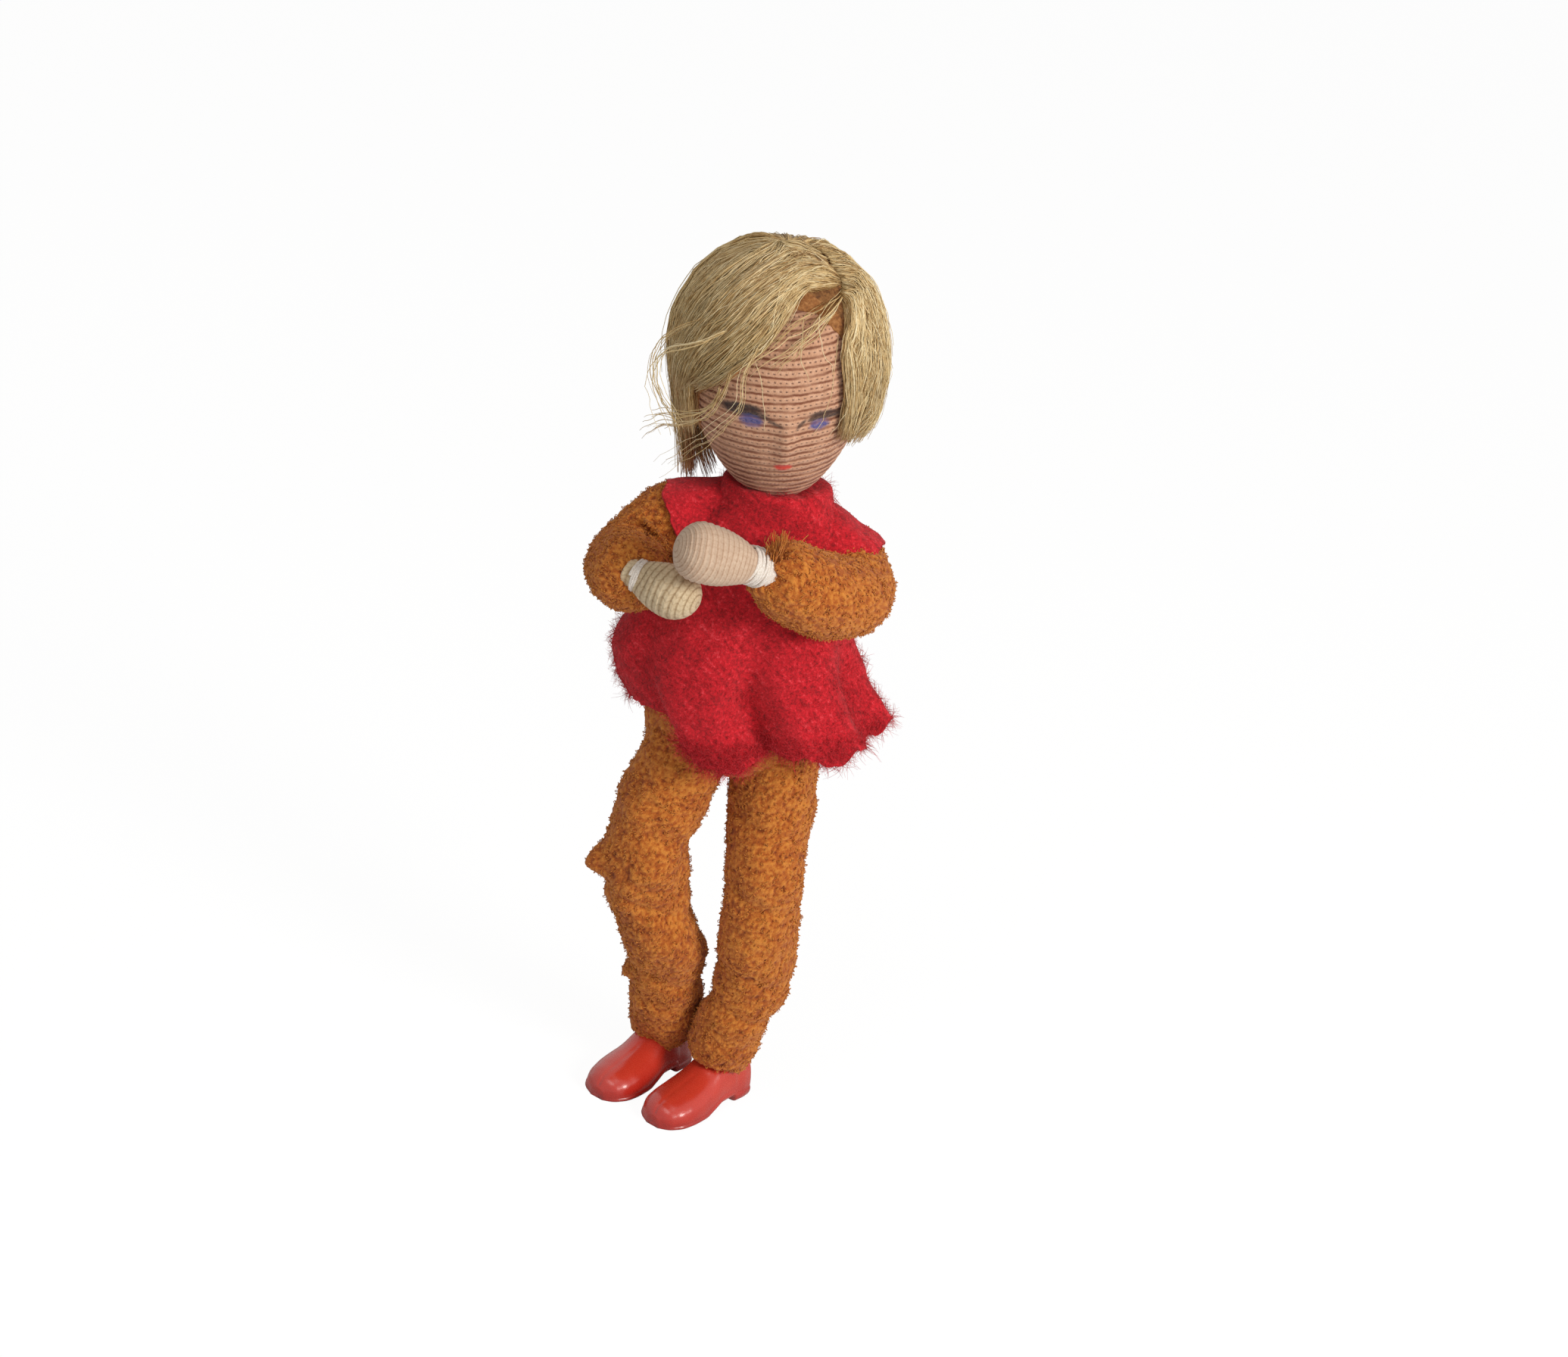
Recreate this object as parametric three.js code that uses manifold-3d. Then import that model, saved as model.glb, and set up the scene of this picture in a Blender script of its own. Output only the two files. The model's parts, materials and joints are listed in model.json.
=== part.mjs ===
// A small bendy doll that stands about 108 mm tall. A wire armature is padded with wadding,
// and the padding is dressed in a wool tunic, looped terry sleeves and trousers, a knitted
// face and knitted hands, and moulded vinyl shoes. Its arms are crossed in front.
// X runs to the doll's left, the doll faces -Y and Z is up, with the soles on Z = 0.
import * as THREE from 'three';
import { mergeVertices } from 'three/addons/utils/BufferGeometryUtils.js';
import Module from 'manifold-3d';

const wasm = await Module();
wasm.setup();

// Driving sizes in millimetres
const clearance = 0.3;
const tolerance = 0.002;
const overrun = 30;
const wireRadius = 0.4;
const wireStop = 1.3;
const bendRadius = 0.55;
const terryWall = 0.9;
const feltWall = 0.9;
const knitWall = 0.5;

const legLength = 40;
const ankleHeight = 7;
const hipSpacing = 9.9;
const hipShift = 0.6;
const pelvisHeight = 12.5;
const chestHeight = 11.2;
const waistShift = 0.4;
const shoulderSpacing = 19.7;
const shoulderDrop = 0.95;
const neckRise = 8.3;
const neckShift = 1.2;
const neckBack = 0.3;

const armLength = 21;
const sleeveRadius = 4.6;
const cuffRadius = 4.2;
const sleeveMouthRadius = 2.3;
const elbowRounding = 2.8;
const sleeveSlack = 1;
const trouserSlack = 0.5;
const wristFree = 1;
const handLength = { right: 7.6, left: 9.6 };
const palmRadius = { right: 2.9, left: 3.3 };
const handNeckRadius = 1.9;
const handMouthRadius = 1.2;
const tieRadius = 0.35;

const trouserTopRadius = 4.8;
const trouserKneeRadius = 4.6;
const trouserCalfRadius = 4.3;
const trouserHemRadius = 3.8;
const trouserHemDrop = 1.4;

const pelvisWidth = 17;
const pelvisDepth = 10.4;
const pelvisTall = 14.4;
const chestWidth = 16.6;
const chestDepth = 11.6;
const seatWidth = 21.4;
const seatDepth = 13.4;
const crotchDrop = 4;
const waistBallRadius = 4.8;
const waistFree = 3;
const seatFree = 1.6;
const neckRadius = 2.4;
const neckDepth = 2.6;
const neckSlack = 0.8;

const dressLength = 29.6;
const dressWidth = 29;
const dressDepth = 20;
const collarDrop = 0.2;
const chestTopDrop = 2.2;
const hemLift = 3;

const headWidth = 19.8;
const headDepth = 20.6;
const headHeight = 28.4;
const headRise = 12.1;
const noseRise = 0.5;
const scalpInset = 0.45;
const scalpWall = 0.4;
const hairThickness = 1.5;
const edgeThinShare = 0.25;
const scalpShare = 0.96;
const lockRelief = 0.35;

const shoeLength = 15.6;
const shoeWidth = 6.8;
const shoeHeight = 6.4;
const shoeWall = 0.8;
const heelHeight = 0.9;
const ankleFromHeel = 4.2;
const collarRadius = 1.9;
const anklePadRadius = 1.4;
const heelPadRadius = 1.1;
const toePadRadius = 0.6;
const toePadHeight = 1.9;
const footPadHeight = 3.4;
const footPadLength = 6.8;
const ankleFree = 0.7;

// Angles in degrees
const headYaw = 8;
const headRoll = -7;
const headNod = 5.5;
const neckHoleAngle = 24;
const hairHangAngle = 96;
const kneeLimit = 90;

// Shares and radians of the head's shape
const eggShare = 0.21;
const hairHangShare = 0.7;
const noseFallAngle = 1.85;
const noseSpreadAngle = 0.24;

// Counts of facets
const limbSides = 12;
const wireSides = 8;
const capSteps = 3;
const legSteps = 9;
const dressSides = 36;
const dressRings = 10;
const trunkSides = 20;
const headSides = 24;
const headRings = 12;
const hairSides = 44;
const hairRows = 8;
const scalpRows = 7;

// Places of the bends, as shares of the arm's or the leg's length
const poseShares = {
  right: {
    elbow: [-0.229, -0.119, -0.186],
    wrist: [-0.138, -0.49, -0.11],
    hand: [0.92, -0.34, -0.18],
    knee: [-0.085, -0.07, -0.41],
    calf: [0.006, -0.012, -0.72],
    ankle: [0.022, 0.105, -1],
    toe: [-0.57, -0.82, 0],
  },
  left: {
    elbow: [0.081, -0.248, -0.105],
    wrist: [-0.481, -0.615, 0.172],
    hand: [-0.89, -0.37, 0.27],
    knee: [0.015, -0.075, -0.45],
    calf: [0.022, -0.055, -0.7],
    ankle: [-0.04, -0.015, -1],
    toe: [-0.6, -0.8, 0],
  },
};

const colours = {
  wire: 0x8d8f91,
  wadding: 0xe9e2d2,
  terry: 0xc98a2c,
  felt: 0xc21f3a,
  face: 0xdcb899,
  knit: 0xe6d6bf,
  thread: 0xf2ead9,
  scalp: 0xb5733a,
  hair: 0xd9bf85,
  vinyl: 0xc23a2c,
};

// Vectors and solids
const vec = (x, y, z) => new THREE.Vector3(x, y, z);
const xAxis = vec(1, 0, 0);
const yAxis = vec(0, 1, 0);
const zAxis = vec(0, 0, 1);

function from(origin, shares, size) {
  return origin.clone().add(vec(...shares).multiplyScalar(size));
}

function direction(a, b) {
  return b.clone().sub(a).normalize();
}

// The stretch from a to b, less what is left free at each end
function stretch(a, b, freeA, freeB) {
  const way = direction(a, b);
  return [a.clone().addScaledVector(way, freeA), b.clone().addScaledVector(way, -freeB)];
}

function toSolid(geometry) {
  const bare = geometry.clone();
  bare.deleteAttribute('normal');
  bare.deleteAttribute('uv');
  const merged = mergeVertices(bare);
  const mesh = new wasm.Mesh({
    numProp: 3,
    vertProperties: new Float32Array(merged.attributes.position.array),
    triVerts: new Uint32Array(merged.index.array),
  });
  return new wasm.Manifold(mesh);
}

// Points that a cut has left closer than the tolerance become one
function toGeometry(solid) {
  const mesh = solid.getMesh();
  const cut = new THREE.BufferGeometry();
  cut.setAttribute('position', new THREE.BufferAttribute(mesh.vertProperties, 3));
  cut.setIndex(new THREE.BufferAttribute(mesh.triVerts, 1));
  const geometry = mergeVertices(cut, tolerance);
  const old = geometry.index.array;
  const faces = [];
  for (let i = 0; i < old.length; i += 3) {
    const [a, b, c] = old.slice(i, i + 3);
    if (a !== b && b !== c && c !== a) {
      faces.push(a, b, c);
    }
  }
  geometry.setIndex(faces);
  geometry.computeVertexNormals();
  return geometry;
}

// The largest body of a solid, without the slivers that a cut can leave
function mainBody(solid) {
  return solid.decompose().reduce((best, next) => (next.volume() > best.volume() ? next : best));
}

// A skin over rings of points that run anticlockwise about the way from first to last
function loft(rings, firstTip, lastTip) {
  const sides = rings[0].length;
  const points = [...rings.flat(), firstTip, lastTip];
  const faces = [];
  const last = (rings.length - 1) * sides;
  for (let j = 0; j < sides; j++) {
    const k = (j + 1) % sides;
    for (let i = 0; i < last; i += sides) {
      faces.push(i + j, i + k, i + k + sides, i + j, i + k + sides, i + j + sides);
    }
    faces.push(points.length - 2, k, j);
    faces.push(points.length - 1, last + j, last + k);
  }
  return toSolid(new THREE.BufferGeometry().setFromPoints(points).setIndex(faces));
}

// A wall between outer and inner rings, closed at the far end if tips are given
function wall(outer, inner, outerTip = null, innerTip = null) {
  const sides = outer[0].length;
  const points = [...outer.flat(), ...inner.flat()];
  const faces = [];
  const last = (outer.length - 1) * sides;
  const start = outer.length * sides;
  for (let j = 0; j < sides; j++) {
    const k = (j + 1) % sides;
    for (let i = 0; i < last; i += sides) {
      const [a, b, c, d] = [i + j, i + k, i + k + sides, i + j + sides];
      faces.push(a, b, c, a, c, d);
      faces.push(start + a, start + c, start + b, start + a, start + d, start + c);
    }
    faces.push(j, start + j, start + k, j, start + k, k);
    const [e, f] = [last + j, last + k];
    if (outerTip) {
      faces.push(2 * start, e, f, 2 * start + 1, start + f, start + e);
    } else {
      faces.push(e, f, start + f, e, start + f, start + e);
    }
  }
  if (outerTip) {
    points.push(outerTip, innerTip);
  }
  return toSolid(new THREE.BufferGeometry().setFromPoints(points).setIndex(faces));
}

// Rings square to a path, each mitred to halve the bend at its point
function pathRings(points, radii, extra, sides) {
  const ways = points.slice(1).map((point, i) => direction(points[i], point));
  const turn = new THREE.Quaternion().setFromUnitVectors(zAxis, ways[0]);
  return points.map((point, i) => {
    const before = ways[Math.max(i - 1, 0)];
    const after = ways[Math.min(i, ways.length - 1)];
    const square = before.clone().add(after).normalize();
    const ring = [];
    for (let j = 0; j < sides; j++) {
      const angle = (2 * Math.PI * j) / sides;
      const spoke = vec(Math.cos(angle), Math.sin(angle), 0).applyQuaternion(turn);
      spoke.addScaledVector(before, -spoke.dot(square) / before.dot(square));
      ring.push(spoke.multiplyScalar(radii[i] + extra).add(point));
    }
    turn.premultiply(new THREE.Quaternion().setFromUnitVectors(before, after));
    return ring;
  });
}

// The rings of a round end, from its tip or from where it reaches the opening's radius
function endRings(ring, centre, way, radius, opening = 0) {
  const first = Math.asin(opening / radius);
  const steps = opening > 0 ? capSteps : capSteps - 1;
  const made = [];
  for (let i = 0; i < steps; i++) {
    const share = opening > 0 ? i / capSteps : (i + 1) / capSteps;
    const angle = first + (Math.PI / 2 - first) * share;
    made.push(ring.map((point) => point.clone().sub(centre)
      .multiplyScalar(Math.sin(angle))
      .addScaledVector(way, radius * Math.cos(angle))
      .add(centre)));
  }
  return made;
}

// A padded limb with round ends along the points, each point with its own radius
function limb(points, radii, extra = 0, sides = limbSides) {
  const rings = pathRings(points, radii, extra, sides);
  const last = points.length - 1;
  const back = direction(points[1], points[0]);
  const on = direction(points[last - 1], points[last]);
  const [firstRadius, lastRadius] = [radii[0] + extra, radii[last] + extra];
  const start = endRings(rings[0], points[0], back, firstRadius);
  const end = endRings(rings[last], points[last], on, lastRadius).reverse();
  return loft([...start, ...rings, ...end],
    points[0].clone().addScaledVector(back, firstRadius),
    points[last].clone().addScaledVector(on, lastRadius));
}

// A cover along the points, round at its first end with an opening there, open at the last
function coverRings(points, radii, extra, opening) {
  const rings = pathRings(points, radii, extra, limbSides);
  const back = direction(points[1], points[0]);
  return [...endRings(rings[0], points[0], back, radii[0] + extra, opening), ...rings];
}

function pill(a, radiusA, b, radiusB, sides = limbSides) {
  return limb([a, b], [radiusA, radiusB], 0, sides);
}

// A wire with pointed ends
function wireRod(points, radius = wireRadius) {
  const rings = pathRings(points, points.map(() => radius), 0, wireSides);
  const last = points.length - 1;
  const first = points[0].clone().addScaledVector(direction(points[1], points[0]), radius);
  const end = points[last].clone()
    .addScaledVector(direction(points[last - 1], points[last]), radius);
  return loft(rings, first, end);
}

function ball(centre, radius, sides = limbSides) {
  const sphere = new THREE.SphereGeometry(radius, sides, sides / 2);
  return toSolid(sphere.translate(centre.x, centre.y, centre.z));
}

function ellipsoid(centre, halfWidth, halfDepth, halfHeight) {
  const sphere = new THREE.SphereGeometry(1, trunkSides, trunkSides / 2);
  sphere.rotateX(Math.PI / 2).scale(halfWidth, halfDepth, halfHeight);
  return toSolid(sphere.translate(centre.x, centre.y, centre.z));
}

// Everything past a plane through the point, on the side that the way points to
function beyond(point, way) {
  const block = new THREE.BoxGeometry(overrun, overrun, overrun);
  block.translate(0, 0, overrun / 2);
  block.applyQuaternion(new THREE.Quaternion().setFromUnitVectors(zAxis, way));
  return toSolid(block.translate(point.x, point.y, point.z));
}

// Bends of the trunk
const hipHeight = ankleHeight + legLength;
const waistHeight = hipHeight + pelvisHeight;
const shoulderHeight = waistHeight + chestHeight;
const neckHeight = shoulderHeight + neckRise;
const collarHeight = neckHeight - collarDrop;
const crotchHeight = hipHeight - crotchDrop;
const hipCentre = vec(hipShift, 0, hipHeight);
const waist = vec(waistShift, 0, waistHeight);
const shoulderCentre = vec(waistShift, 0, shoulderHeight);
const neck = vec(neckShift, neckBack, neckHeight);

// Bends of one side's arm and leg, with the way that each hinge turns
function bendsOf(side) {
  const sign = side === 'left' ? 1 : -1;
  const shares = poseShares[side];
  const shoulder = shoulderCentre.clone();
  shoulder.x += (sign * shoulderSpacing) / 2;
  shoulder.z -= sign * shoulderDrop;
  const hip = hipCentre.clone();
  hip.x += (sign * hipSpacing) / 2;
  const corner = from(shoulder, shares.elbow, armLength);
  const wrist = from(shoulder, shares.wrist, armLength);
  const sleeveCorners = [
    stretch(shoulder, corner, 0, elbowRounding)[1],
    stretch(corner, wrist, elbowRounding, 0)[0],
  ];
  const elbow = sleeveCorners[0].clone().lerp(sleeveCorners[1], 1 / 2);
  const handWay = vec(...shares.hand).normalize();
  const palmEnd = handLength[side] - palmRadius[side];
  const handTip = wrist.clone().addScaledVector(handWay, palmEnd);
  const knee = from(hip, shares.knee, legLength);
  const calf = from(hip, shares.calf, legLength);
  const ankle = from(hip, shares.ankle, legLength);
  const toeWay = vec(...shares.toe).normalize();
  const foreWay = direction(elbow, wrist);
  const rise = vec(0, -1, sign).normalize();
  return {
    sign, shoulder, elbow, sleeveCorners, wrist, handWay, handTip, hip, knee, calf, ankle, toeWay,
    openAxis: zAxis.clone().multiplyScalar(sign),
    liftAxis: direction(shoulder, wrist).multiplyScalar(sign),
    elbowAxis: foreWay.clone().cross(direction(shoulder, elbow)).normalize(),
    wristAxis: handWay.clone().cross(rise).normalize(),
    swingAxis: side === 'left' ? xAxis.clone().negate() : vec(toeWay.y, -toeWay.x, 0),
    splayAxis: yAxis.clone().multiplyScalar(-sign),
    kneeAxis: vec(-toeWay.y, toeWay.x, 0),
  };
}

const bends = { right: bendsOf('right'), left: bendsOf('left') };

const doll = new THREE.Group();

function material(colour, roughness, metalness = 0) {
  return new THREE.MeshStandardMaterial({ color: colour, roughness, metalness });
}

const finishes = {
  wire: material(colours.wire, 0.4, 1),
  wadding: material(colours.wadding, 1),
  terry: material(colours.terry, 0.95),
  felt: material(colours.felt, 0.95),
  face: material(colours.face, 0.9),
  knit: material(colours.knit, 0.9),
  thread: material(colours.thread, 0.8),
  scalp: material(colours.scalp, 0.9),
  hair: material(colours.hair, 0.6),
  vinyl: material(colours.vinyl, 0.3),
};

function addPiece(name, solid, finish) {
  const mesh = new THREE.Mesh(toGeometry(mainBody(solid)), finishes[finish]);
  mesh.name = name;
  doll.add(mesh);
}

const bandCentreRadius = handNeckRadius + clearance + tieRadius;
const bandOuterRadius = bandCentreRadius + tieRadius;

// Arms: the terry sleeve outside, wadding inside and a wire through the middle
const terryInside = -terryWall;
const paddingInside = terryInside - clearance;
const armInside = paddingInside - sleeveSlack;
const legInside = paddingInside - trouserSlack;
const boreRadius = wireRadius + clearance;

function sleevePath(side) {
  const { shoulder, sleeveCorners, wrist } = bends[side];
  return [shoulder, ...sleeveCorners, wrist];
}
const sleeveRadii = [sleeveRadius, sleeveRadius, sleeveRadius, cuffRadius];

function sleeveSolid(side, extra) {
  return limb(sleevePath(side), sleeveRadii, extra);
}

function armParts(side) {
  const { shoulder, elbow, wrist } = bends[side];
  const path = sleevePath(side);
  const foreWay = direction(elbow, wrist);
  const sleeve = wall(
    coverRings(path, sleeveRadii, 0, sleeveMouthRadius),
    coverRings(path, sleeveRadii, terryInside, sleeveMouthRadius),
  ).subtract(handCover(side, clearance));

  const bandRoom = ball(wrist, bandOuterRadius + clearance);
  const foreRadii = [sleeveRadius, cuffRadius];
  const forePadding = limb([elbow, wrist], foreRadii, armInside)
    .subtract(beyond(stretch(elbow, wrist, 0, wristFree)[1], foreWay))
    .subtract(bandRoom)
    .subtract(handCover(side, clearance));
  const foreRoom = limb([elbow, wrist], foreRadii, armInside + clearance);
  const upperPadding = limb([shoulder, elbow], [sleeveRadius, sleeveRadius], armInside)
    .subtract(foreRoom);

  const elbowFree = sleeveRadius + armInside + clearance + wireRadius;
  const upperWire = stretch(shoulder, elbow, wireStop, elbowFree);
  const foreWire = stretch(elbow, wrist, wireStop, bandOuterRadius + clearance + wireRadius);
  const upperBore = wireRod([shoulder, elbow], boreRadius)
    .add(ball(shoulder, bendRadius + clearance, wireSides));
  const foreBore = wireRod([elbow, wrist], boreRadius);
  addPiece(`sleeve_${side}`, sleeve, 'terry');
  addPiece(`upper_arm_padding_${side}`, upperPadding.subtract(upperBore), 'wadding');
  addPiece(`forearm_padding_${side}`, forePadding.subtract(foreBore), 'wadding');
  addPiece(`shoulder_wire_bend_${side}`, ball(shoulder, bendRadius, wireSides), 'wire');
  addPiece(`upper_arm_wire_${side}`, wireRod(upperWire), 'wire');
  addPiece(`forearm_wire_${side}`, wireRod(foreWire), 'wire');
}

// Hands: a knitted bag drawn in at the wrist by a binding of thread
function handPath(side) {
  const { wrist, handWay, handTip } = bends[side];
  const palm = palmRadius[side];
  return {
    points: [wrist, wrist.clone().addScaledVector(handWay, palm), handTip],
    radii: [handNeckRadius, palm, palm],
  };
}

function handCover(side, extra) {
  const { points, radii } = handPath(side);
  return limb(points, radii, extra);
}

function handParts(side) {
  const { wrist, handWay, handTip } = bends[side];
  const { points, radii } = handPath(side);
  const lining = -knitWall;
  const [palm] = radii.slice(-1);
  const skin = (extra) => {
    const rings = coverRings(points, radii, extra, handMouthRadius);
    const end = endRings(rings[rings.length - 1], handTip, handWay, palm + extra).reverse();
    return [...rings, ...end];
  };
  const cover = wall(skin(0), skin(lining),
    handTip.clone().addScaledVector(handWay, palm),
    handTip.clone().addScaledVector(handWay, palm + lining));
  const boreMouth = wrist.clone().addScaledVector(handWay, -handNeckRadius);
  const padding = handCover(side, lining - clearance)
    .subtract(wireRod([boreMouth, handTip], boreRadius));
  const tie = new THREE.TorusGeometry(bandCentreRadius, tieRadius, wireSides, limbSides);
  tie.applyQuaternion(new THREE.Quaternion().setFromUnitVectors(zAxis, handWay));
  tie.translate(wrist.x, wrist.y, wrist.z);
  addPiece(`hand_cover_${side}`, cover, 'knit');
  addPiece(`hand_padding_${side}`, padding, 'wadding');
  addPiece(`hand_wire_${side}`, wireRod(stretch(wrist, handTip, wireStop, clearance)), 'wire');
  addPiece(`wrist_tie_${side}`, toSolid(tie), 'thread');
}

// The wire's crossbar between the hips and the foot of its upright
function hipBarSolid(radius) {
  const free = trouserTopRadius + paddingInside + clearance + wireRadius;
  const upright = [hipCentre, stretch(hipCentre, waist, 0, waistBallRadius + boreRadius)[1]];
  return wireRod(stretch(bends.right.hip, bends.left.hip, free, free), radius)
    .add(wireRod(upright, radius));
}

// Legs: terry trouser legs over wadding, bent at the knee
const legRadii = [trouserTopRadius, trouserKneeRadius, trouserCalfRadius, trouserHemRadius];
const shinRadii = legRadii.slice(1);

// The trouser leg's path, a smooth curve through the bends, with its radius at each point
function trouserPath(side) {
  const { hip, knee, calf, ankle } = bends[side];
  const hem = ankle.clone().lerp(calf, -trouserHemDrop / (calf.z - ankle.z));
  const curve = new THREE.CatmullRomCurve3([hip, knee, calf, hem]);
  const radii = [];
  for (let i = 0; i <= legSteps; i++) {
    const place = (i / legSteps) * (legRadii.length - 1);
    const row = Math.min(Math.floor(place), legRadii.length - 2);
    radii.push(THREE.MathUtils.lerp(legRadii[row], legRadii[row + 1], place - row));
  }
  return { points: curve.getPoints(legSteps), radii };
}

function legParts(side) {
  const { hip, knee, calf, ankle, toeWay, kneeAxis } = bends[side];
  const down = zAxis.clone().negate();
  const { points, radii } = trouserPath(side);
  const leg = wall(
    pathRings(points, radii, 0, limbSides),
    pathRings(points, radii, terryInside, limbSides),
  ).subtract(shoeBody(side, clearance)).subtract(hipBarSolid(boreRadius));

  const shinTop = ankle.clone().setZ(ankleHeight + ankleFree);
  const shinPadding = limb([knee, calf, ankle], shinRadii, legInside)
    .subtract(beyond(shinTop, down))
    .subtract(ball(ankle, anklePadRadius + clearance));
  const kneeRadius = trouserKneeRadius + legInside + clearance;
  const folded = THREE.MathUtils.degToRad(kneeLimit);
  const foldedFoot = calf.clone().sub(knee).applyAxisAngle(kneeAxis, folded).add(knee);
  const thighPadding = limb([hip, knee], legRadii.slice(0, 2), legInside)
    .subtract(limb([knee, calf], [kneeRadius, kneeRadius]))
    .subtract(limb([knee, foldedFoot], [kneeRadius, kneeRadius]));

  const kneeFree = kneeRadius + clearance + wireRadius;
  const ankleStop = anklePadRadius + clearance + wireRadius;
  const thighWire = stretch(hip, knee, wireStop, kneeFree);
  const shinStart = stretch(knee, calf, wireStop, 0)[0];
  const shinEnd = stretch(calf, ankle, 0, ankleStop)[1];
  const thighBore = wireRod([hip, knee], boreRadius)
    .add(ball(hip, bendRadius + clearance, wireSides));
  const shinBore = wireRod([knee, calf, ankle], boreRadius);
  addPiece(`trouser_leg_${side}`, leg, 'terry');
  addPiece(`thigh_padding_${side}`, thighPadding.subtract(thighBore), 'wadding');
  addPiece(`shin_padding_${side}`, shinPadding.subtract(shinBore), 'wadding');
  addPiece(`hip_wire_bend_${side}`, ball(hip, bendRadius, wireSides), 'wire');
  addPiece(`thigh_wire_${side}`, wireRod(thighWire), 'wire');
  addPiece(`shin_wire_${side}`, wireRod([shinStart, calf, shinEnd]), 'wire');

  const heelPad = ankle.clone().setZ(footPadHeight);
  const toePad = heelPad.clone().addScaledVector(toeWay, footPadLength)
    .setZ(toePadHeight);
  const wireToe = heelPad.clone().lerp(toePad, 1 / 2);
  const heelWire = ankle.clone().setZ(ankleHeight + wireRadius);
  const footPadding = limb([heelPad, toePad], [heelPadRadius, toePadRadius], 0, wireSides)
    .add(limb([ankle, heelPad], [anklePadRadius, heelPadRadius], 0, wireSides));
  addPiece(`foot_padding_${side}`,
    footPadding.subtract(wireRod([ankle.clone().setZ(ankleHeight + ankleStop), heelPad], boreRadius))
      .subtract(wireRod([heelPad, wireToe], boreRadius)), 'wadding');
  addPiece(`foot_wire_${side}`, wireRod([heelWire, heelPad])
    .add(wireRod([heelPad, stretch(heelPad, wireToe, 0, clearance)[1]])), 'wire');
  addPiece(`shoe_${side}`, shoeShell(side), 'vinyl');
}

// Shoes: one moulded shell with a heel block, a raised waist under the arch and a round toe.
// Each row gives the place from heel to toe, half width, top, underside and insole as shares.
const shoeShares = [
  [0, 0.42, 0.5, 0, 0],
  [0.04, 0.66, 0.82, 0, 0],
  [0.12, 0.8, 0.98, 0, 0.5],
  [0.24, 0.84, 1, 0, 1],
  [0.27, 0.84, 1, 1, 1],
  [0.4, 0.84, 0.92, 1, 1],
  [0.52, 0.92, 0.74, 0.3, 1],
  [0.66, 1, 0.62, 0, 0.6],
  [0.8, 0.98, 0.53, 0, 0.2],
  [0.91, 0.82, 0.44, 0, 0],
  [0.97, 0.58, 0.34, 0, 0],
  [1, 0.3, 0.22, 0, 0],
];
const shoeSectionShares = [
  [0.9, 0], [1, 0.12], [1, 0.3], [0.93, 0.58], [0.72, 0.84], [0.38, 0.97], [0, 1],
];

function shoeBody(side, extra) {
  const { ankle, toeWay } = bends[side];
  const across = vec(-toeWay.y, toeWay.x, 0);
  const heel = ankle.clone().setZ(0).addScaledVector(toeWay, -ankleFromHeel);
  const rings = shoeShares.map(([place, width, top, arch, insole]) => {
    const long = shoeLength + 2 * extra;
    const along = place * long - extra;
    const half = (width * shoeWidth) / 2 + extra;
    const under = (extra < 0 ? insole : arch) * heelHeight - extra;
    const high = top * shoeHeight + extra;
    const station = heel.clone().addScaledVector(toeWay, along);
    const point = (share, lift) => station.clone()
      .addScaledVector(across, share * half)
      .setZ(under + lift * (high - under));
    const near = shoeSectionShares.map(([share, lift]) => point(share, lift));
    const far = shoeSectionShares.slice(0, -1).reverse().map(([share, lift]) => point(-share, lift));
    return [...near, ...far];
  });
  const middle = (ring) => ring.reduce((sum, p) => sum.add(p), vec(0, 0, 0))
    .divideScalar(ring.length);
  return loft(rings, middle(rings[0]), middle(rings[rings.length - 1]));
}

function shoeShell(side) {
  const { ankle } = bends[side];
  const throat = ankle.clone().setZ(shoeHeight + collarRadius);
  const inside = ankle.clone().setZ(shoeHeight / 2 + collarRadius);
  return shoeBody(side, 0)
    .subtract(shoeBody(side, -shoeWall))
    .subtract(pill(inside, collarRadius, throat, collarRadius));
}

// Tunic: rings from collar to hem, each with its height, shift, width, depth and fold shares
const dressShares = [
  [0, 0.033, 0.41, 0.6, 0],
  [0.076, 0.03, 0.465, 0.57, 0],
  [0.154, 0.024, 0.6, 0.6, 0],
  [0.277, 0.014, 0.655, 0.69, 0],
  [0.416, 0.003, 0.7, 0.75, 0.05],
  [0.591, -0.028, 0.855, 0.84, 0.35],
  [0.764, -0.031, 0.966, 0.93, 0.75],
  [0.903, 0.02, 1.0, 1.0, 1],
  [1, 0.083, 1.0, 1.02, 1],
];
// Each fold has its angle and width in degrees and its depth as a share of the ring
const foldShares = [
  [-80, 13, -0.22],
  [-112, 16, 0.06],
  [-135, 11, -0.12],
  [-48, 16, 0.08],
  [-20, 12, -0.1],
  [5, 14, 0.06],
  [60, 16, -0.12],
  [95, 14, 0.06],
  [130, 14, -0.12],
  [168, 14, 0.05],
];
const liftShares = [[-128, 26, 1], [0, 40, 0.6], [180, 40, 0.5]];

function bumps(table, degrees) {
  return table.reduce((sum, [angle, width, share]) => {
    const apart = ((((degrees - angle) % 360) + 540) % 360) - 180;
    return sum + share * Math.exp(-((apart / width) ** 2));
  }, 0);
}

function dressRow(place) {
  const next = dressShares.findIndex((row) => row[0] >= place);
  const low = dressShares[Math.max(next - 1, 0)];
  const high = dressShares[next];
  const mix = high === low ? 0 : (place - low[0]) / (high[0] - low[0]);
  return low.map((value, i) => value + (high[i] - value) * mix);
}

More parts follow.
